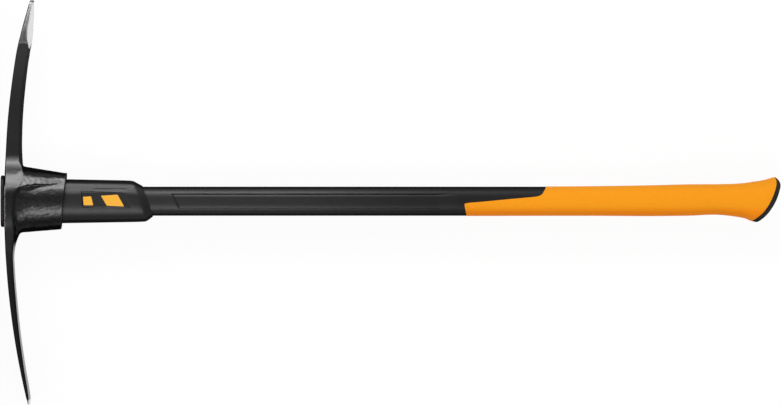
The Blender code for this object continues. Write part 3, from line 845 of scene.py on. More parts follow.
@dataclass
class ForgedHead:
    """Boss, collar, rib, pick arm and blade as one forging, in millimetres.

    The shape is a field of distances, one for each part of the forging, joined with fillets, and the mesh is
    the surface where the field is zero. A collar's profile runs along X from the cap, and an arm's runs along
    the arm from the tool's axis. Each span that ends in fade or depth says where a finish starts and where it
    is full.
    """

    step: float = 0.885
    quick_coarser: float = 1.7
    margin: float = 3.0
    front_margin: float = 8.0
    half_span: float = 38.0
    slabs: int = 24
    nudge: float = 0.4
    sharp: float = 0.9
    top_x: float = 4.5
    top_round: float = 1.3
    rim_x: float = 74.2
    rim_slope: float = 0.10
    rim_round: float = 0.9
    boss_x: float = 10.0
    lower_heights: Span = (38.0, 32.8)
    barrel_places = (4, 13, 24, 34, 46, 75)
    barrel_width: Profile = Profile(barrel_places, (26.7, 26.6, 26.2, 26.0, 26.2, 26.9))
    barrel_power: Profile = Profile(barrel_places, (4.0, 3.8, 2.7, 2.15, 2.15, 2.15))
    barrel_top: Profile = Profile((8, 16, 24, 32, 46, 58, 75), (21.0, 23.0, 27.5, 29.3, 30.7, 32.7, 33.0))
    rib_tops: Span = (43.7, 33.2)
    rib_lean: float = 25.0
    rib_under: Span = (0.94, 0.34)
    rib_places = (10, 16, 20, 24, 28, 46, 58, 64, 70, 75)
    rib_corner: Profile = Profile(rib_places, (23.5, 24.4, 25.3, 26.1, 26.4, 25.1, 23.5, 22.5, 21.45, 21.2))
    rib_radius: Profile = Profile(rib_places, (12.8, 16.0, 19.0, 21.8, 22.7, 20.6, 17.9, 16.2, 14.6, 14.0))
    rib_fillet: float = 0.5
    crease: Profile = Profile(
        (10, 18.8, 24.7, 31.7, 45.8, 57.6, 69.3, 75), (11, 14.4, 16.7, 18.7, 20.1, 19.6, 20.9, 21.6)
    )
    crease_round: float = 0.4
    wedge_width: Profile = Profile((20, 28.2, 35, 45.8, 58.7, 70), (24.9, 24.5, 23.8, 22.9, 22.2, 20.8))
    wedge_above: float = 1.0
    wedge_below: float = 8.0
    eye: Oval = Oval(20.7, 17.1, 2.5)
    mouth: Oval = Oval(26.2, 20.3, 2.7)
    mouth_x: float = 60.3
    hollow_reach: float = 45.0
    back_radius: float = 937.0
    back_flat: float = 12.0
    fillet: float = 3.0
    chamfer_angle: float = 36.0
    corner_round: float = 0.8
    face_round: float = 0.6
    pick_reach: float = 236.0
    pick_depth: Profile = Profile(
        (0, 8, 15, 24, 46, 60, 81, 110, 145, 166, 178, 188, 201, 212, 222, 233, 237),
        (13.6, 14.3, 17, 21.5, 20.1, 18.9, 18.0, 17.1, 16.35, 16.0, 16.2, 15.8, 13.5, 11.0, 8.6, 5.6, 4.3),
    )
    back_shift: Profile = Profile((60, 95, 142, 166, 178, 188), (0, 0.35, 0.55, 0.75, 0.75, 0.4))
    point_back: Profile = Profile((188, 201, 212, 222, 233, 237), (20.8, 24.3, 27.3, 30.2, 33.3, 34.7))
    side_width: Profile = Profile(
        (0, 3.8, 7.3, 10.8, 14.3, 17.9, 21.4, 24.9, 28.4, 32, 35.5, 39, 42.5, 48.4, 53.1, 56.6, 60.2, 81,
         110, 145, 188, 203, 212, 222, 233, 237),
        (27.6, 27.5, 27.25, 26.8, 26.1, 25.2, 24.0, 22.5, 20.9, 19.5, 18.45, 17.5, 16.4, 14.2, 12.95, 12.5,
         12.2, 11.6, 10.9, 10.2, 9.5, 8.5, 7.3, 5.7, 3.5, 2.5),
    )
    facet_start: float = 172.0
    facet_edge: Profile = Profile(
        (174, 178.6, 183.3, 188.7, 195.9, 203.2, 209.4, 219.3, 230.5, 237),
        (34.6, 33.4, 32.5, 31.3, 31.1, 31.4, 32.5, 34.3, 35.8, 36.5),
    )
    ridge_half_width: float = 0.7
    leaf_end_x: float = 33.6
    leaf_end_y: float = 178.2
    leaf_end_slope: float = 2.6
    blade_reach: float = 239.0
    blade_places = (0, 10, 20, 30, 38.5, 45.6, 52.6, 59.7, 80.8, 116, 158, 179.5, 200.7, 221.8, 233.6, 239)
    blade_depth: Profile = Profile(
        blade_places, (13.6, 13.1, 12.6, 12.4, 12.0, 11.2, 10.3, 9.3, 8.6, 8.1, 6.8, 6.1, 5.2, 4.2, 2.7, 0.9)
    )
    blade_width: Profile = Profile(
        blade_places,
        (27.6, 27.4, 27.0, 26.4, 25.8, 25.3, 24.9, 24.5, 24.1, 25.2, 27.9, 29.7, 31.7, 33.6, 34.6, 35),
    )
    blade_chamfer: float = 1.1
    thin_floor: float = 3.4
    thin_start: float = 60.0
    gusset_depth: Profile = Profile((26, 38.5, 45.6, 52.6, 59.7, 68), (26, 16.9, 13.6, 11.0, 9.3, 7.6))
    gusset_half_width: float = 17.0
    gusset_round: float = 8.0
    gusset_ends: Span = (24.0, 66.0)
    rear_cut: float = 1.4
    rear_cut_loss: float = 1.1
    rear_cut_fade: Span = (176.0, 188.0)
    fore_cut: float = 0.6
    fore_cut_gain: float = 2.4
    fore_cut_fade: Span = (38.0, 47.0)
    root_cut: float = 3.0
    pick_root_fade: Span = (16.0, 7.0)
    blade_root_fade: Span = (-36.0, -10.0)
    settle_rounds: int = 2
    settle_reach: float = 0.6
    least_slope: float = 0.2
    wave_seed: int = 7
    waves: int = 60
    wave_lengths: Span = (2.6, 8.5)
    wave_height: float = 0.055
    arm_pitting: float = 0.12
    pitting_end: Span = (48.0, 34.0)
    pitting_start: Span = (12.0, 28.0)
    cap_clear: Span = (8.0, 11.0)
    rim_clear: Span = (-2.0, -5.0)
    spine_depth: Span = (1.0, 1.8)
    ground_fade: Span = (178.0, 194.0)
    tip_length: float = 4.5
    tip_fade: Span = (-2.6, -1.4)
    tip_shade: float = 0.75
    edge_fade: Span = (-7.5, -4.5)
    leaf_depth: Span = (-0.32, -0.05)
    leaf_fade: float = 1.2
    ridge_depth: Span = (-0.9, 0.0)
    ridge_fade: Span = (186.0, 192.0)
    # Painted light: how far the paint turns paler along the pick arm, by Y.
    painted_light_paleness: Profile = Profile((36, 64, 120, 172), (0, 0.35, 0.38, 1))
    front_depth: Span = (-1.0, -0.3)
    front_fade: Span = (46.0, 56.0)
    dull_fade: Span = (26.0, 38.0)
    worn_depth: Span = (2.2, 1.1)
    worn_middle: float = -6.0
    worn_half: float = 27.0
    worn_side: Span = (23.0, 25.0)
    rim_wear: float = 0.35
    rim_wear_fade: Span = (-1.6, -0.4)
    rim_wear_half: float = 40.0

    def back(self, y: Array) -> Array:
        """X of the circle's arc behind both arms, which starts past a short flat."""
        run = np.maximum(np.abs(y) - self.back_flat, 0)
        return self.top_x + self.back_radius - np.sqrt(self.back_radius**2 - run**2)

    def pick_back(self, y: Array) -> Array:
        """X of the pick arm's rear face, which leaves the arc where the point starts."""
        return np.where(y < self.point_back.places[0], self.back(y) - self.back_shift(y), self.point_back(y))

    def past_rim(self, x: Array, y: Array) -> Array:
        """How far along X a point lies past the collar's slanting rim."""
        return x - self.rim_x - self.rim_slope * y

    def arm(
        self, x: Array, z: Array, back: Array, depth: Array, width: Array, rear_chamfer: Array | float,
        fore_chamfer: Array | float,
    ) -> Array:
        """Field of a four-sided arm with chamfered corners: the greatest of its faces' distances, rounded.

        Args:
            x: X of each point.
            z: Z of each point.
            back: X of the rear face there.
            depth: Size along X there.
            width: Half size along Z there.
            rear_chamfer: Depth of the rear corners' chamfers.
            fore_chamfer: Depth of the front corners' chamfers.

        Returns:
            The distance, negative inside.
        """
        out = np.abs(z) - width
        rear, fore = back - x, x - back - depth
        most = np.minimum(depth, 2 * width) / 3
        whole = soft_max(soft_max(rear, fore, self.face_round), out, self.corner_round)
        run, rise = math.sin(math.radians(self.chamfer_angle)), math.cos(math.radians(self.chamfer_angle))
        for face, chamfer in ((rear, rear_chamfer), (fore, fore_chamfer)):
            bevel = (face + np.minimum(chamfer, most)) * run + out * rise
            whole = soft_max(whole, bevel, self.corner_round)
        return whole

    def facet(self, x: Array, y: Array, z: Array) -> Array:
        """Field of the two ground faces of the point: planes from the side face's corner to the front ridge.

        Args:
            x: X of each point.
            y: Y of each point.
            z: Z of each point.

        Returns:
            The distance from the nearer plane, negative behind it.
        """
        front = self.pick_back(y) + self.pick_depth(y)
        run = np.maximum(front - self.facet_edge(y), GAP)
        rise = np.maximum(self.side_width(y) - self.ridge_half_width, GAP)
        return ((x - front) * rise + (np.abs(z) - self.ridge_half_width) * run) / np.hypot(run, rise)

    def rib(self, x: Array, y: Array, z: Array) -> Array:
        """Field of the rib: a round top over two slopes that lean outwards, cut off along the crease.

        Across X the outline is an arc round a centre below the top, from straight up down to the lean, and
        from there the arc's tangent down to the corner.

        Args:
            x: X of each point.
            y: Y of each point.
            z: Z of each point.

        Returns:
            The distance, negative inside.
        """
        crease, corner, radius = self.crease(x), self.rib_corner(x), self.rib_radius(x)
        top = np.interp(x, (self.boss_x, self.rim_x), self.rib_tops)
        run, rise = math.sin(math.radians(self.rib_lean)), math.cos(math.radians(self.rib_lean))
        tangent_y = top - radius * (1 - run)
        flat = np.maximum(corner - (tangent_y - crease) * run / rise - radius * rise, 0)
        across, up = np.maximum(np.abs(z) - flat, 0), y - top + radius
        arc = np.hypot(across, up) - radius
        slope = (np.abs(z) - corner) * rise + (y - crease) * run
        under_rise, under_run = self.rib_under
        under = (crease - y) * under_rise + (np.abs(z) - corner) * under_run
        return soft_max(np.where(up * rise > across * run, arc, slope), under, self.crease_round)

    def collar(self, x: Array, y: Array, z: Array) -> Array:
        """Field of the collar: a round barrel, the rib on top of it, and a thin flat wedge below the crease.

        Args:
            x: X of each point.
            y: Y of each point.
            z: Z of each point.

        Returns:
            The distance, negative inside.
        """
        lower = np.interp(x, (self.boss_x, self.rim_x), self.lower_heights)
        height = np.where(y < 0, lower, self.barrel_top(x))
        barrel = Oval(height, self.barrel_width(x), self.barrel_power(x)).distance(y, z)
        above = y - self.crease(x)
        wedge = np.maximum.reduce([
            np.abs(z) - self.wedge_width(x), above - self.wedge_above, -above - self.wedge_below,
        ])
        return soft_min(soft_min(barrel, wedge, self.crease_round), self.rib(x, y, z), self.rib_fillet)

    def pick(self, x: Array, y: Array, z: Array) -> Array:
        """Field of the pick arm: chamfered more at the boss and in front, cut by the point's ground faces.

        Args:
            x: X of each point.
            y: Y of each point.
            z: Z of each point.

        Returns:
            The distance, negative inside.
        """
        rear_cut = self.rear_cut - self.rear_cut_loss * ease(y, *self.rear_cut_fade)
        fore_cut = self.fore_cut + self.fore_cut_gain * ease(y, *self.fore_cut_fade)
        fore_cut = fore_cut + self.root_cut * ease(y, *self.pick_root_fade)
        arm = self.arm(x, z, self.pick_back(y), self.pick_depth(y), self.side_width(y), rear_cut, fore_cut)
        ground = np.where(y < self.facet_start, -self.pick_reach, self.facet(x, y, z))
        return soft_max(soft_max(arm, ground, self.crease_round), y - self.pick_reach, self.corner_round)

    def blade(self, x: Array, y: Array, z: Array) -> Array:
        """Field of the blade, which stays thick enough for the grid at its edge until thinned squeezes it.

        Args:
            x: X of each point.
            y: Y of each point.
            z: Z of each point.

        Returns:
            The distance, negative inside.
        """
        depth = self.blade_depth(-y)
        thick = np.maximum(depth, self.thin_floor)
        rear = self.back(y) + depth / 2 - thick / 2
        fore_cut = self.blade_chamfer + self.root_cut * ease(y, *self.blade_root_fade)
        blade = self.arm(x, z, rear, thick, self.blade_width(-y), self.blade_chamfer, fore_cut)
        return soft_max(blade, -y - self.blade_reach, self.face_round)

    def gusset(self, x: Array, y: Array, z: Array) -> Array:
        """Field of the thickening in front of the blade's root, round along its sides.

        Args:
            x: X of each point.
            y: Y of each point.
            z: Z of each point.

        Returns:
            The distance, negative inside.
        """
        front = x - self.back(y) - self.gusset_depth(-y)
        body = soft_max(front, np.abs(z) - self.gusset_half_width, self.gusset_round)
        start, end = self.gusset_ends
        return np.maximum.reduce([body, y + start, -end - y])

    def hollow(self, x: Array, y: Array, z: Array) -> Array:
        """Field of the eye and of the wider mouth at the rim, which takes the guard's nose."""
        mouth = soft_max(self.mouth.distance(y, z), self.mouth_x - x, GAP)
        return np.minimum(self.eye.distance(y, z), mouth)

    def distance(self, x: Array, y: Array, z: Array) -> Array:
        """Field of the whole forging: collar, arms and gusset joined, cut at rim and back, and hollowed.

        Args:
            x: X of each point.
            y: Y of each point.
            z: Z of each point.

        Returns:
            The distance, negative in the steel.
        """
        arms = np.where(y > 0, self.pick(x, y, z), self.blade(x, y, z))
        whole = soft_min(self.collar(x, y, z), arms, self.fillet)
        whole = soft_min(whole, self.gusset(x, y, z), self.fillet)
        whole = soft_max(whole, self.past_rim(x, y) / math.hypot(1, self.rim_slope), self.rim_round)
        rear = np.where(y > 0, np.minimum(self.pick_back(y), self.back(y)), self.back(y))
        whole = soft_max(whole, rear - x, self.top_round)
        opened = soft_max(whole, -self.hollow(x, y, z), self.rim_round)
        return np.where(np.abs(y) < self.hollow_reach, opened, whole)

    def build(self) -> Piece:
        """The head's mesh, which keeps at each vertex the numbers that its finish is laid out by."""
        step = self.step * 1.0
        low = np.array([self.top_x - self.margin, -self.blade_reach - self.margin, -self.half_span])
        high = np.array([self.rim_x + self.front_margin, self.pick_reach + self.margin, self.half_span])
        counts = np.ceil((high - low) / step).astype(int) + 1
        # Samples stand half a step either side of the tool's middle plane, so both sides come out alike.
        low[2] = -step * (counts[2] - 1) / 2
        axes = [low[i] + step * np.arange(counts[i]) for i in range(3)]
        values = [
            self.distance(*np.meshgrid(axes[0], part, axes[2], indexing="ij")).astype(np.float32)
            for part in np.array_split(axes[1], self.slabs)
        ]
        points, faces = surface_net(np.concatenate(values, axis=1), low, step)
        for _ in range(self.settle_rounds):
            points = self.settled(points)
        points = self.forged(self.thinned(points))
        head = mesh_object("forged_head", points, [faces], self.sharp)
        paint = (self.pale, self.dull, self.pitted, self.worn)
        for measure in (self.bare, self.leaf, self.ridge, self.front, *paint):
            layer = head.data.attributes.new(measure.__name__, "FLOAT", "POINT")
            layer.data.foreach_set("value", measure(points).astype(np.float32))
        return head

    def slope(self, points: Array) -> Array:
        """The field's slope at each point: its change over a short distance along each axis.

        Args:
            points: Rows of X, Y and Z.

        Returns:
            Rows of three slopes.
        """
        changes = [
            self.distance(*(points + self.nudge * axis).T) - self.distance(*(points - self.nudge * axis).T)
            for axis in np.eye(3)
        ]
        return np.stack(changes, axis=1) / (2 * self.nudge)

    def settled(self, points: Array) -> Array:
        """Points moved onto the zero surface by Newton's step along the slope, held to part of a grid step.

        Args:
            points: Rows of X, Y and Z near the surface.

        Returns:
            The moved points.
        """
        slope = self.slope(points)
        size = np.maximum((slope**2).sum(axis=1), self.least_slope)
        shift = -self.distance(*points.T)[:, None] * slope / size[:, None]
        limit = np.maximum(np.linalg.norm(shift, axis=1, keepdims=True) / (self.settle_reach * self.step), 1)
        return points + shift / limit

    def thinned(self, points: Array) -> Array:
        """Points of the blade squeezed towards its middle by its real depth over the field's depth.

        Args:
            points: Rows of X, Y and Z on the surface.

        Returns:
            The moved points.
        """
        x, y, z = points.T
        depth = self.blade_depth(-y)
        middle = self.back(y) + depth / 2
        squeeze = np.where(y < -self.thin_start, depth / np.maximum(depth, self.thin_floor), 1)
        return xyz(middle + (x - middle) * squeeze, y, z)

    def forged(self, points: Array) -> Array:
        """Points moved in and out as scale and hammering do, by a sum of plane waves in random directions.

        The height is the sum of cos(k . p + phase) over the waves, divided by the root of their number.

        Args:
            points: Rows of X, Y and Z on the surface.

        Returns:
            The points moved along the field's slope.
        """
        draw = np.random.default_rng(self.wave_seed)
        waves = draw.normal(size=(self.waves, 3))
        length = draw.uniform(*self.wave_lengths, (self.waves, 1))
        waves *= 2 * np.pi / length / np.linalg.norm(waves, axis=1, keepdims=True)
        phase = draw.uniform(0, 2 * np.pi, self.waves)
        height = np.cos(points @ waves.T + phase).sum(axis=1) / math.sqrt(self.waves)
        return points + unit(self.slope(points)) * (height * self.wave_height * self.pitted(points))[:, None]

    def bare(self, points: Array) -> Array:
        """How bare the steel is: 1 on the ground point and edge, fading into the paint.

        Args:
            points: Rows of X, Y and Z on the surface.

        Returns:
            A number from 0 to 1 for each point.
        """
        x, y, _ = points.T
        spine = ease(x - self.pick_back(y), *self.spine_depth)
        ground = ease(y, *self.ground_fade) * np.maximum(spine, y > self.pick_reach - self.tip_length)
        tip = 1 - self.tip_shade * ease(y - self.pick_reach, *self.tip_fade)
        edge = ease(-y - self.blade_reach, *self.edge_fade)
        return np.clip(np.maximum.reduce([self.leaf(points) * tip, ground * tip, edge]), 0, 1)

    def leaf(self, points: Array) -> Array:
        """Where the two bright facets of the point are, which end in a leaf's tip: 1 on their planes.

        Args:
            points: Rows of X, Y and Z on the surface.

        Returns:
            A number from 0 to 1 for each point.
        """
        x, y, z = points.T
        lowest = self.leaf_end_y + self.leaf_end_slope * np.abs(x - self.leaf_end_x)
        return ease(self.facet(x, y, z), *self.leaf_depth) * ease(y - lowest, 0, self.leaf_fade)

    def ridge(self, points: Array) -> Array:
        """Where a facet of the point meets the side face, whose grinding is dull: 1 along their edge.

        Args:
            points: Rows of X, Y and Z on the surface.

        Returns:
            A number from 0 to 1 for each point.
        """
        x, y, z = points.T
        side = np.minimum(np.abs(z) - self.side_width(y), 0)
        depth = np.minimum(self.facet(x, y, z), 0) + side
        return ease(depth, *self.ridge_depth) * ease(y, *self.ridge_fade)

    def pale(self, points: Array) -> Array:
        """Painted light: how much paler the paint is made, not at all by the boss and more along the pick arm
        towards the point.
        """
        return self.painted_light_paleness(points[:, 1])

    def front(self, points: Array) -> Array:
        """Where the blade's front face is, which shines when it is seen edge on.

        Args:
            points: Rows of X, Y and Z on the surface.

        Returns:
            A number from 0 to 1 for each point.
        """
        x, y, _ = points.T
        depth = x - self.back(y) - self.blade_depth(-y)
        return ease(depth, *self.front_depth) * ease(-y, *self.front_fade)

    def dull(self, points: Array) -> Array:
        """Where the paint has next to no gloss: on the blade."""
        return ease(-points[:, 1], *self.dull_fade)

    def worn(self, points: Array) -> Array:
        """How chipped the paint is: most along the top face's edges beside the cap, some on the rim.

        Args:
            points: Rows of X, Y and Z on the surface.

        Returns:
            A number from 0 to 1 for each point.
        """
        x, y, z = points.T
        beside = (np.abs(y - self.worn_middle) < self.worn_half) * ease(np.abs(z), *self.worn_side)
        top = ease(x - self.top_x, *self.worn_depth) * beside
        rim = ease(self.past_rim(x, y), *self.rim_wear_fade) * (np.abs(y) < self.rim_wear_half)
        return np.clip(np.maximum(top, self.rim_wear * rim), 0, 1)

    def pitted(self, points: Array) -> Array:
        """How rough the forging is: most on the collar, little along the arms.

        Args:
            points: Rows of X, Y and Z on the surface.

        Returns:
            A number from 0 to 1 for each point.
        """
        x, y, _ = points.T
        collar = ease(np.abs(y), *self.pitting_end) * ease(x, *self.pitting_start)
        between = ease(x, *self.cap_clear) * ease(self.past_rim(x, y), *self.rim_clear)
        return (self.arm_pitting + (1 - self.arm_pitting) * collar) * between

    def dress(self, finish: Material) -> None:
        """Build the head in place of its solid."""
        stand_in(self.build(), finish, Slot.STEEL, "pick_head")


# The cap over the eye


@dataclass
class EyeCap:
    """Moulded plate over the eye, in millimetres.

    The dish with the flat round it, and the seat, are rings given by their X and how far inside the outline
    they lie.
    """

    outline: Oval = Oval(30.4, 20.0, 3.4)
    thickness: float = 4.2
    edge: float = 1.7
    spigot: Oval = Oval(20.4, 16.8, 2.5)
    spigot_depth: float = 2.7
    dish: tuple[Span, ...] = ((0.5, 14.0), (0.5, 5.2), (0.42, 4.6), (0.08, 3.9), (0.0, 3.3), (0.0, 1.8))
    seat: tuple[Span, ...] = ((-1.5, 0.0), (-0.5, 0.35), (0.0, 1.1), (0.0, 6.0))
    edge_rings: int = 7
    sides: int = 160

    def build(self) -> Piece:
        """Plate with a quarter round edge, a dish and the spigot, as rings from the outer face inwards."""
        angle = even_angles(self.sides)
        profile = [*self.dish]
        for t in np.linspace(np.pi / 2, 0, self.edge_rings):
            profile.append((self.edge * (1 - math.sin(t)), self.edge * (1 - math.cos(t))))
        profile += [(self.thickness + x, inset) for x, inset in self.seat]
        rings = [xyz(x, *self.outline.inset(inset).ring(angle)) for x, inset in profile]
        for x in (self.thickness, self.thickness + self.spigot_depth):
            rings.append(xyz(x, *self.spigot.ring(angle)))
        return ring_object("eye_cap_plate", rings, False)

    def dress(self, finish: Material) -> None:
        """Build the cap in place of its solid."""
        stand_in(self.build(), finish, Slot.RUBBER, "eye_cap")


# The handle


@dataclass
class HandleShell:
    """Black moulded handle body with a long recessed panel on each side, in millimetres."""

    start_x: float = 7.5
    end_x: float = 870.0
    skin: Oval = Oval(17.1, 13.5, 2.5)
    bore: Oval = Oval(8.8, 8.8, 2.0)
    panel_half_height: float = 8.2
    panel_floor: float = 12.3
    panel_crowns: Span = (1.5, 0.8)
    most_crown: float = 2.0
    panel_lip: Span = (0.56, -0.14)
    panel_front_fade: float = 0.6
    panel_start: float = 205.5
    panel_slant: float = 4.0
    panel_end: float = 536.0
    panel_fade: float = 26.0
    seat_x: float = 648.0
    seat_wall: float = 2.6
    seat_ramp: float = 1.5
    bore_stride: int = 6
    sides: int = 240

    def stops(self) -> list[tuple[float, float]]:
        """Where the rings' spacing changes along X, with the spacing from there on."""
        return [
            (self.start_x, 8.0), (165.0, 3.0), (self.panel_start - 8, 0.7), (self.panel_start + 10, 6.0),
            (self.panel_end - 40, 2.0), (self.panel_end, 5.0), (self.seat_x, 0.4), (self.seat_x + 2, 9.0),
            (self.end_x, 1.0),
        ]

    def build(self) -> Piece:
        """Rings along the outside, the panel pressed into them, and back along the bore.

        The panel's floor is level but for a crown that grows with the fourth power of the height.
        """
        places = steps_between(self.stops())
        angle = even_angles(self.sides)
        x = places[:, None] * np.ones_like(angle)
        y, z = self.skin.inset(self.seat_wall * ease(x - self.seat_x, 0, self.seat_ramp)).ring(angle)
        front = self.panel_start - y / self.panel_half_height * self.panel_slant
        pressed = (
            ease(np.abs(y) - self.panel_half_height, *self.panel_lip)
            * ease(x - front, -self.panel_front_fade, self.panel_front_fade)
            * ease(x, self.panel_end, self.panel_end - self.panel_fade)
        )
        crown = np.where(y > 0, *self.panel_crowns) * np.abs(y / self.panel_half_height) ** 4
        floor = np.sign(z) * np.minimum(np.abs(z), self.panel_floor - np.minimum(crown, self.most_crown))
        outer = xyz(x, y, z + (floor - z) * pressed)
        inner = xyz(places[::-1][:: self.bore_stride, None], *self.bore.ring(angle))
        inner[0, :, 0], inner[-1, :, 0] = self.end_x, self.start_x
        return ring_object("handle_body", [*outer, *inner], True)

    def dress(self, finish: Material) -> None:
        """Build the shell in place of its solid."""
        stand_in(self.build(), finish, Slot.NYLON, "handle_shell")


@dataclass
class Guard:
    """Moulded guard behind the head, with a recess and orange accents on each side, in millimetres."""

    start_x: float = 60.6
    rim_x: float = 74.2
    shoulder_x: float = 163.2
    shoulder_slope: float = -0.32
    end_x: float = 172.2
    end_slope: float = -0.345
    drop_round: float = 0.05
    drop_fade: Span = (0.006, 0.016)
    bulge: float = 1.3
    bulge_fade: Span = (0.8, 1.0)
    bulge_level: float = 0.7
    half_height: float = 25.9
    half_width: float = 20.0
    taper: float = 1.6
    upper_power: float = 2.8
    lower_power: float = 2.45
    bevel_start: float = 8.2
    bevel_slope: float = 0.375
    bevel_round: float = 0.8
    lip: float = 1.0
    lip_rise: float = 0.25
    lip_insets: Span = (0.35, 0.8)
    bore: Oval = Oval(17.4, 13.8, 2.5)
    bore_rings: Span = (150.0, 100.0)
    band_start: float = 107.0
    band_end: float = 148.6
    band_top: float = 14.5
    band_foot: float = 8.5
    band_step: float = 0.35
    band_slope: float = 0.46
    band_fades: tuple[float, float, float, float] = (6.0, 3.0, 0.25, 1.5)
    recess_floor: float = 17.9
    recess_wall: Span = (-0.315, 0.585)
    recess_corners: tuple = ((94.9, 10.9), (144.6, 10.9), (154.3, -7.4), (96.4, -7.4))
    front_accent: tuple = ((96.4, 5.6), (106.7, 6.1), (109.3, -5.2), (97.2, -5.2))
    rear_accent: tuple = ((117.4, 6.6), (137.7, 8.1), (145.6, -6.5), (124.3, -5.6))
    accent_gap: float = 0.45
    accent_corner: float = 0.8
    accent_rise: float = 0.12
    accent_rings: tuple[Span, ...] = ((-1.8, 0.0), (-0.4, 0.0), (-0.12, 0.1), (0.0, 0.4), (0.06, 2.2))
    corner_points: int = 6
    nose_share: float = 0.12
    nose_rings: int = 6
    skin_rings: int = 190
    sides: int = 280

    def section(self, share: Array) -> tuple[Array, Array, Array, Array]:
        """The outer skin along the guard, which tapers to the shoulder and then drops to the lip.

        The drop is (t + sqrt(t^2 + drop_round)) / 2, where t is the share of the way from shoulder to end.

        Args:
            share: Shares of the guard's length.

        Returns:
            Middle X, lean, half height and half width at each share.
        """
        x = self.start_x + share * (self.end_x - self.start_x)
        straight = np.clip((x - self.rim_x) / (self.shoulder_x - self.rim_x), 0, 1)
        tail = (x - self.shoulder_x) / (self.end_x - self.shoulder_x)
        drop = (tail + np.sqrt(tail**2 + self.drop_round)) / 2
        drop = drop / drop[-1] * ease(drop, *self.drop_fade)
        slope = self.shoulder_slope * straight**1.5 + (self.end_slope - self.shoulder_slope) * drop
        height = self.half_height - self.taper * straight
        width = self.half_width - self.taper * straight
        height = height + (self.bore.half_height + self.lip - height) * drop
        width = width + (self.bore.half_width + self.lip - width) * drop
        return x, slope, height, width

    def banded(self, x: Array, y: Array, z: Array, height: Array, width: Array) -> Array:
        """Z of the skin with a moulded crease pressed in along the upper bevel.

        Args:
            x: X of each point of the skin.
            y: Y of each point.
            z: Z of each point.
            height: The skin's half height there.
            width: Its half width there.

        Returns:
            The new Z of each point.
        """
        brim = width * (1 - (self.band_top / height) ** self.upper_power) ** (1 / self.upper_power)
        brim = np.minimum(brim, width + (self.bevel_start - self.band_top) * self.bevel_slope)
        band = brim - self.band_step + (self.band_top - y) * self.band_slope
        front, rear, top, foot = self.band_fades
        held = ease(x - self.band_start, 0, front) * ease(x - self.band_end, 0, -rear)
        held = held * ease(y - self.band_top, top, -top) * ease(y - self.band_foot, 0, foot)
        return z + (np.sign(z) * band - z) * held

    def build(self) -> Piece:
        """Rings along the skin, the crease and the recess pressed into it, and back along the bore."""
        nose = np.linspace(0, self.nose_share, self.nose_rings, endpoint=False)
        share = np.concatenate([nose, np.linspace(self.nose_share, 1, self.skin_rings)])
        angle = even_angles(self.sides)
        middle, slope, height, width = (part[:, None] for part in self.section(share))
        power = np.where(np.cos(angle) > 0, self.upper_power, self.lower_power)
        y, z = Oval(height, width, power).ring(angle)
        bevel = width + (self.bevel_start - y) * self.bevel_slope
        z = np.where(y > 0, np.sign(z) * soft_min(np.abs(z), bevel, self.bevel_round), z)
        bow = ease(share[:, None], *self.bulge_fade) * self.bulge
        x = middle + slope * y + bow * (self.bulge_level - (y / height) ** 2)
        z = self.banded(x, y, z, height, width)
        pressed = ease(inside_outline(x, y, np.array(self.recess_corners)), *self.recess_wall)
        floor = np.sign(z) * np.minimum(np.abs(z), self.recess_floor)
        rings = [*xyz(x, y, z + (floor - z) * pressed)]
        for inset in self.lip_insets:
            y, z = Oval(height[-1], width[-1], power).inset(inset).ring(angle)
            rings.append(xyz(self.end_x + self.lip_rise * (1 - inset) + self.end_slope * y, y, z))
        y, z = self.bore.ring(angle)
        for x in (self.end_x - GAP + self.end_slope * y, *self.bore_rings, self.start_x):
            rings.append(xyz(x, y, z))
        return ring_object("guard_sleeve", rings, True)

    def accent(self, name: str, corners: Array, side: Side) -> Piece:
        """One orange insert: an outline with small round corners, raised in rings to a soft edge.

        Each round corner is the curve (1 - t)^2 a + 2 t (1 - t) b + t^2 c from a to c, the points where it
        leaves the edges, with the corner at b.

        Args:
            name: Name of the piece.
            corners: X and Y of the recess's corners, clockwise.
            side: The side of the tool that it lies on.

        Returns:
            The linked object.
        """
        corners = corners + self.accent_gap * unit(corners.mean(axis=0) - corners)
        before, after = (unit(np.roll(corners, by, axis=0) - corners) for by in (1, -1))
        start, end = corners + self.accent_corner * before, corners + self.accent_corner * after
        t = np.linspace(0, 1, self.corner_points)[None, :, None]
        outline = (1 - t) ** 2 * start[:, None] + 2 * t * (1 - t) * corners[:, None] + t**2 * end[:, None]
        outline = outline.reshape(-1, 2)
        inward = unit(outline.mean(axis=0) - outline)
        top = self.recess_floor + self.accent_rise
        rings = [
            xyz(*(outline + inset * inward).T, side.value * (top + rise)) for rise, inset in self.accent_rings
        ]
        return ring_object(name, [ring[::-1] for ring in rings] if side is Side.NEAR else rings, False)

    def accents(self) -> Iterator[tuple[str, Piece]]:
        """The four inserts, each with the name of its node."""
        for side in Side:
            for place, corners in (("front", self.front_accent), ("rear", self.rear_accent)):
                node = f"{side.name.lower()}_{place}_accent"
                yield node, self.accent(f"{node}_plate", np.array(corners), side)

    def dress(self, finish: Material, orange: Material) -> None:
        """Build the guard and its four accents in place of their solids.

        Args:
            finish: The guard's material.
            orange: The accents' material.
        """
        stand_in(self.build(), finish, Slot.NYLON, "overstrike_guard")
        for node, plate in self.accents():
            stand_in(plate, orange, Slot.ACCENT, node)


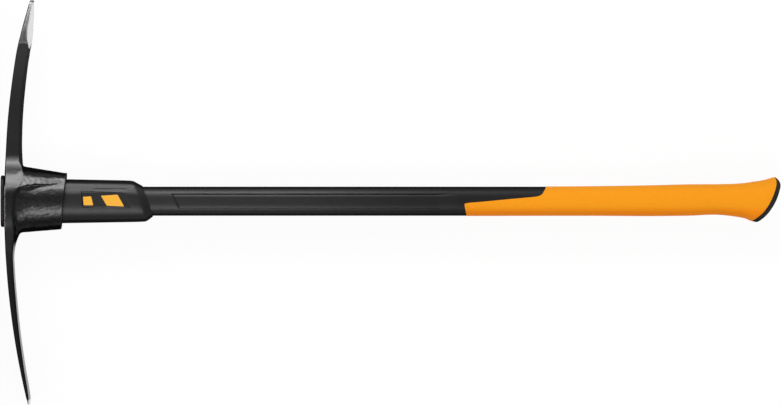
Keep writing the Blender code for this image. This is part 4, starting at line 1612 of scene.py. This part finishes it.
@dataclass
class Butt:
    """Outline of the slanted butt, shared by the grip and the cap, in millimetres."""

    seam: Profile = Profile(
        (-34, -23.3, -14.1, -6, 1.65, 11, 20.0, 25, 28.2, 33),
        (863.4, 882.6, 894.4, 900.6, 904.8, 908.6, 910.8, 910.5, 909.0, 905),
    )
    edge_points: tuple[Span, ...] = (
        (899.3, 36.0), (911.1, 27.0), (915.3, 20.2), (914.2, 12.0), (909.5, -0.9), (900.4, -14.9),
        (888.2, -24.9), (869.0, -33.2),
    )
    fineness: int = 200

    def x_at(self, y: Array, inset: float) -> Array:
        """X of the butt's edge, a smooth line through its points, moved inwards along its normal.

        Args:
            y: Y of each place.
            inset: How far inwards.

        Returns:
            X at each Y.
        """
        points = np.array(self.edge_points)
        places = tuple(range(len(points)))
        fine = np.linspace(0, places[-1], self.fineness)
        line = np.stack([Profile(places, tuple(part))(fine) for part in points.T], axis=1)
        run = unit(np.gradient(line, axis=0))
        line = line + inset * np.stack([run[:, 1], -run[:, 0]], axis=1)
        edge_x, edge_y = line[np.argsort(line[:, 1])].T
        return np.interp(y, edge_y, edge_x)


@dataclass
class Grip:
    """Soft orange grip, its front edge cut to the tongue, flared at the butt, in millimetres."""

    butt: Butt = field(default_factory=Butt)
    power: float = 2.4
    seat: Oval = Oval(14.8, 11.2, 2.5)
    seat_middle: float = 800.0
    seat_setback: float = 2.0
    seat_depth: float = 2.2
    lip: float = 0.6
    lip_rings: int = 5
    front_y: Sizes = (-17.6, -12.0, -4.5, -3.3, -2.5, -1.8, -0.9, 1.4, 5.2, 6.0, 7.3, 10.0, 14.0, 17.9)
    front_x: Sizes = (
        547.0, 545.9, 544.6, 544.7, 546.2, 551.5, 562.8, 586.3, 627.5, 631.5, 634.6, 637.1, 639.0, 640.6,
    )
    places = (540, 702, 774, 809.6, 844.8, 862.5, 874.2, 882.4, 894, 909.5, 927)
    top: Profile = Profile(places, (17.4, 17.8, 19.0, 19.9, 20.1, 20.6, 21.5, 22.8, 24.5, 28.6, 31.0))
    bottom: Profile = Profile(places, (17.4, 17.2, 17.5, 17.0, 16.1, 18.1, 20.3, 23.6, 25.1, 25.6, 26.0))
    width: Profile = Profile(places, (14.2, 14.2, 14.2, 14.2, 14.5, 15.2, 16.0, 16.8, 18.0, 18.5, 18.5))
    skin_shares: tuple = ((0.003, 0.06, 5), (0.09, 0.6, 26), (0.62, 1, 60))
    crowding: float = 0.16
    first_guess: float = 700.0
    rounds: int = 30
    sides: int = 260

    def front(self, y: Array) -> Array:
        """X of the front edge at each Y."""
        return np.interp(y, self.front_y, self.front_x)

    def rear(self, y: Array) -> Array:
        """X of the rear edge at each Y, half a gap short of the seam."""
        return self.butt.seam(y) - GAP / 2

    def skin(self, x: Array, angle: Array, inset: float = 0.0) -> tuple[Array, Array]:
        """The outer skin, an oval whose middle lies between its top and its bottom.

        Args:
            x: X of each point.
            angle: Its angle from +Y towards +Z.
            inset: How far inwards it is moved.

        Returns:
            Y and Z of each point.
        """
        top, bottom = self.top(x), self.bottom(x)
        y, z = Oval((top + bottom) / 2, self.width(x), self.power).inset(inset).ring(angle)
        return y + (top - bottom) / 2, z

    def ring_at(self, angle: Array, edge: Edge, inset: float) -> tuple[Array, Array, Array]:
        """A ring on the skin that follows an edge, found by moving half way to it again and again.

        Args:
            angle: Angles of the ring's points.
            edge: Gives the edge's X from Y.
            inset: How far inside the skin the ring lies.

        Returns:
            X, Y and Z of its points.
        """
        x = np.full_like(angle, self.first_guess)
        for _ in range(self.rounds):
            y, _ = self.skin(x, angle, inset)
            x = 0.5 * x + 0.5 * edge(y)
        return x, *self.skin(x, angle, inset)

    def build(self) -> Piece:
        """Rings from the quarter round front lip over the skin to the butt, and back along the seat."""
        even = even_angles(self.sides)
        # More columns where the front edge runs slantwise, a little above and below the axis.
        angle = even + self.crowding * np.sin(2 * even)
        first, *_ = self.ring_at(angle, self.front, 0.0)
        last, *_ = self.ring_at(angle, self.rear, 0.0)
        rings = []
        for t in np.linspace(0, np.pi / 2, self.lip_rings)[:-1]:
            rings.append(xyz(first, *self.skin(first, angle, self.lip * (1 - math.sin(t)))))
        start = first + self.lip
        for share in np.concatenate([np.linspace(*run) for run in self.skin_shares]):
            x = start + (last - start) * share
            rings.append(xyz(x, *self.skin(x, angle)))
        y, z = self.seat.ring(angle)
        rings += [xyz(x, y, z) for x in (self.rear(y), self.seat_middle, self.front(y) + self.seat_setback)]
        rings.append(xyz(first, *self.skin(first, angle, self.seat_depth)))
        return ring_object("soft_grip", rings, True)

    def dress(self, finish: Material) -> None:
        """Build the grip in place of its solid."""
        stand_in(self.build(), finish, Slot.GRIP, "grip")


@dataclass
class ButtCap:
    """Black cap that follows the grip's flared end, in millimetres."""

    grip: Grip
    edge: float = 0.8
    edge_rings: int = 6
    seat_inset: float = 0.3
    seat_shares: Sizes = (0.1, 0.35, 0.6, 0.85, 1.0)
    side_shares: Sizes = (0.08, 0.4, 0.7)
    face_shares: Sizes = (0.94, 0.85, 0.7, 0.55, 0.4, 0.25, 0.1)

    def ring(self, edge: Edge, inset: float, share: float = 1.0, gap: float = 0.0) -> Array:
        """A ring where the skin meets an edge, drawn in towards its middle and laid on the edge again.

        Args:
            edge: Gives the edge's X from Y.
            inset: How far inside the skin the ring lies.
            share: The ring's size after it is drawn in, as a share.
            gap: How far it stands off the edge along X.

        Returns:
            The ring's points.
        """
        _, y, z = self.grip.ring_at(even_angles(self.grip.sides), edge, inset)
        y, z = (part.mean() + share * (part - part.mean()) for part in (y, z))
        return xyz(edge(y) + gap, y, z)

    def build(self) -> Piece:
        """Rings from the middle of the inner face out to the skin, round the rim and in over the end."""
        butt = self.grip.butt
        rings = [self.ring(butt.seam, self.seat_inset, share, GAP / 2) for share in self.seat_shares]
        inner = self.ring(butt.seam, 0.0, gap=GAP / 2)
        rim = self.ring(partial(butt.x_at, inset=self.edge), 0.0)
        rings += [inner + (rim - inner) * share for share in self.side_shares]
        for t in np.linspace(0, np.pi / 2, self.edge_rings):
            cap_edge = partial(butt.x_at, inset=self.edge * (1 - math.sin(t)))
            rings.append(self.ring(cap_edge, self.edge * (1 - math.cos(t))))
        rings += [self.ring(partial(butt.x_at, inset=0.0), self.edge, share) for share in self.face_shares]
        return ring_object("butt_end_cap", rings, False)

    def dress(self, finish: Material) -> None:
        """Build the cap in place of its solid."""
        stand_in(self.build(), finish, Slot.RUBBER, "butt_cap")


# The studio


@dataclass(frozen=True)
class Lamp:
    """One long soft light that runs along the tool.

    lean is its angle from straight up towards +Y and spread the angle that its width takes up, in degrees.
    share is the part of full light that it gives to a level surface, ends where it starts and stops along X
    in metres, and mirrored whether glossy surfaces show it.
    """

    name: str
    lean: float
    spread: float
    share: float
    ends: Span
    mirrored: bool
    distance: float = 1.5

    def build(self) -> None:
        """Place the light.

        Its radiance is twice its share of full light over its spread and the cosine of its lean, which is
        what an endless strip needs to light the floor by that share.
        """
        turn, wide = math.radians(self.lean), math.radians(self.spread)
        data = bpy.data.lights.new(self.name, "AREA")
        data.shape = "RECTANGLE"
        data.size, data.size_y = self.ends[1] - self.ends[0], 2 * self.distance * math.tan(wide / 2)
        radiance = 2 * self.share / (wide * math.cos(turn))
        data.energy = radiance * math.pi * data.size * data.size_y
        lamp = bpy.data.objects.new(self.name, data)
        lamp.location = (sum(self.ends) / 2, self.distance * math.sin(turn), self.distance * math.cos(turn))
        lamp.rotation_euler = (-turn, 0.0, 0.0)
        lamp.visible_glossy = self.mirrored
        bpy.context.scene.collection.objects.link(lamp)


@dataclass
class Studio:
    """Pale floor, soft light and the camera, in metres."""

    pixels_wide: int = 781
    pixels_high: int = 405
    metres_per_pixel: float = 0.001175
    cap_pixel_x: float = 1.0
    axis_pixel_y: float = 201.2
    camera_height: float = 12.0
    camera_reach: float = 100.0
    sensor_width: float = 36.0
    floor_size: float = 24.0
    floor_middle: float = 0.45
    floor_gap: float = 0.0005
    floor_colour: Colour = (0.97, 0.97, 0.97)
    floor_bounce: Colour = (0.72, 0.72, 0.72)
    floor_glow: float = 0.94
    floor_roughness: float = 0.9
    floor_specular: float = 0.1
    sky: float = 0.025
    lamps: tuple[Lamp, ...] = (
        Lamp("upper strip", 48.0, 12.0, 0.72, (-0.9, 0.47), True),
        Lamp("upper panel", 44.0, 40.0, 0.68, (0.47, 1.7), False),
        Lamp("lower strip", -29.0, 14.0, 0.52, (-0.9, 0.47), True),
        Lamp("lower panel", -36.0, 40.0, 0.78, (0.47, 1.7), False),
    )

    def camera(self) -> None:
        """A camera straight above the tool, far enough away to look square on it."""
        data = bpy.data.cameras.new("square view")
        data.sensor_width = self.sensor_width
        data.lens = self.sensor_width * self.camera_height / (self.pixels_wide * self.metres_per_pixel)
        data.clip_end = self.camera_reach
        eye = bpy.data.objects.new("square view", data)
        middle_x = (self.pixels_wide / 2 - self.cap_pixel_x) * self.metres_per_pixel
        middle_y = (self.axis_pixel_y - self.pixels_high / 2) * self.metres_per_pixel
        eye.location = (middle_x, middle_y, self.camera_height)
        bpy.context.scene.collection.objects.link(eye)
        bpy.context.scene.camera = eye

    def floor_finish(self) -> Material:
        """Pale paint that glows for the camera and in reflections, so the background is white."""
        made = bpy.data.materials.new("pale floor")
        made.use_nodes = True
        nodes = Nodes(made.node_tree)
        shader = made.node_tree.nodes["Principled BSDF"]
        path = nodes.add("ShaderNodeLightPath").outputs
        shown = nodes.blend(path["Is Camera Ray"], self.floor_bounce, self.floor_colour)
        nodes.set(
            shader, Base_Color=shown, Roughness=self.floor_roughness, Specular_IOR_Level=self.floor_specular
        )
        seen = nodes.math("ADD", path["Is Camera Ray"], path["Is Glossy Ray"], path["Is Transmission Ray"])
        share = nodes.math("MULTIPLY", nodes.math("MINIMUM", seen, 1.0), self.floor_glow)
        glow = nodes.add("ShaderNodeEmission", Strength=1.0)
        mix = nodes.add("ShaderNodeMixShader")
        for socket, value in zip(mix.inputs, (share, shader.outputs[0], glow.outputs[0])):
            nodes.give(socket, value)
        nodes.set(made.node_tree.nodes["Material Output"], Surface=mix.outputs[0])
        return made

    def floor(self) -> None:
        """A pale floor just under the tool."""
        height = CAD_BOX[0][2] - self.floor_gap
        bpy.ops.mesh.primitive_plane_add(size=self.floor_size, location=(self.floor_middle, 0.0, height))
        ground = bpy.context.object
        ground.name = "studio_floor"
        ground.data.materials.append(self.floor_finish())

    def build(self) -> None:
        """Set up the view, the lamps and the surroundings."""
        scene = bpy.context.scene
        scene.view_settings.view_transform = "Standard"
        self.camera()
        self.floor()
        for lamp in self.lamps:
            lamp.build()
        scene.world = bpy.data.worlds.new("studio sky")
        scene.world.use_nodes = True
        sky = scene.world.node_tree
        Nodes(sky).set(sky.nodes["Background"], Color=(1.0, 1.0, 1.0), Strength=self.sky)


def dress_hidden(finishes: dict[str, Material]) -> None:
    """Give the solids that stay inside the tool their finish.

    Args:
        finishes: The material of each solid, by the solid's name.
    """
    for name, finish in finishes.items():
        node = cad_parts[name]
        node.data.materials.clear()
        node.data.materials.append(finish)


def main() -> None:
    """Build the studio, and then each part of the tool in order from the head to the butt."""
    logging.basicConfig(level=logging.INFO, format="%(name)s: %(message)s")
    shared = Shared()
    nylon, shell_nylon, rubber = (finish.build(shared) for finish in (NYLON, SHELL_NYLON, RUBBER))
    Studio().build()
    ForgedHead().dress(FORGING.build(shared))
    EyeCap().dress(rubber)
    HandleShell().dress(shell_nylon)
    Guard().dress(nylon, ACCENT.build(shared))
    grip = Grip()
    grip.dress(SOFT_GRIP.build(shared))
    ButtCap(grip).dress(rubber)
    dress_hidden({
        "handle_core": FIBREGLASS.build(shared),
        "eye_liner": COMPOUND.build(shared),
        "front_core_plug": rubber,
        "rear_core_plug": rubber,
    })


if __name__ == "__main__":
    main()
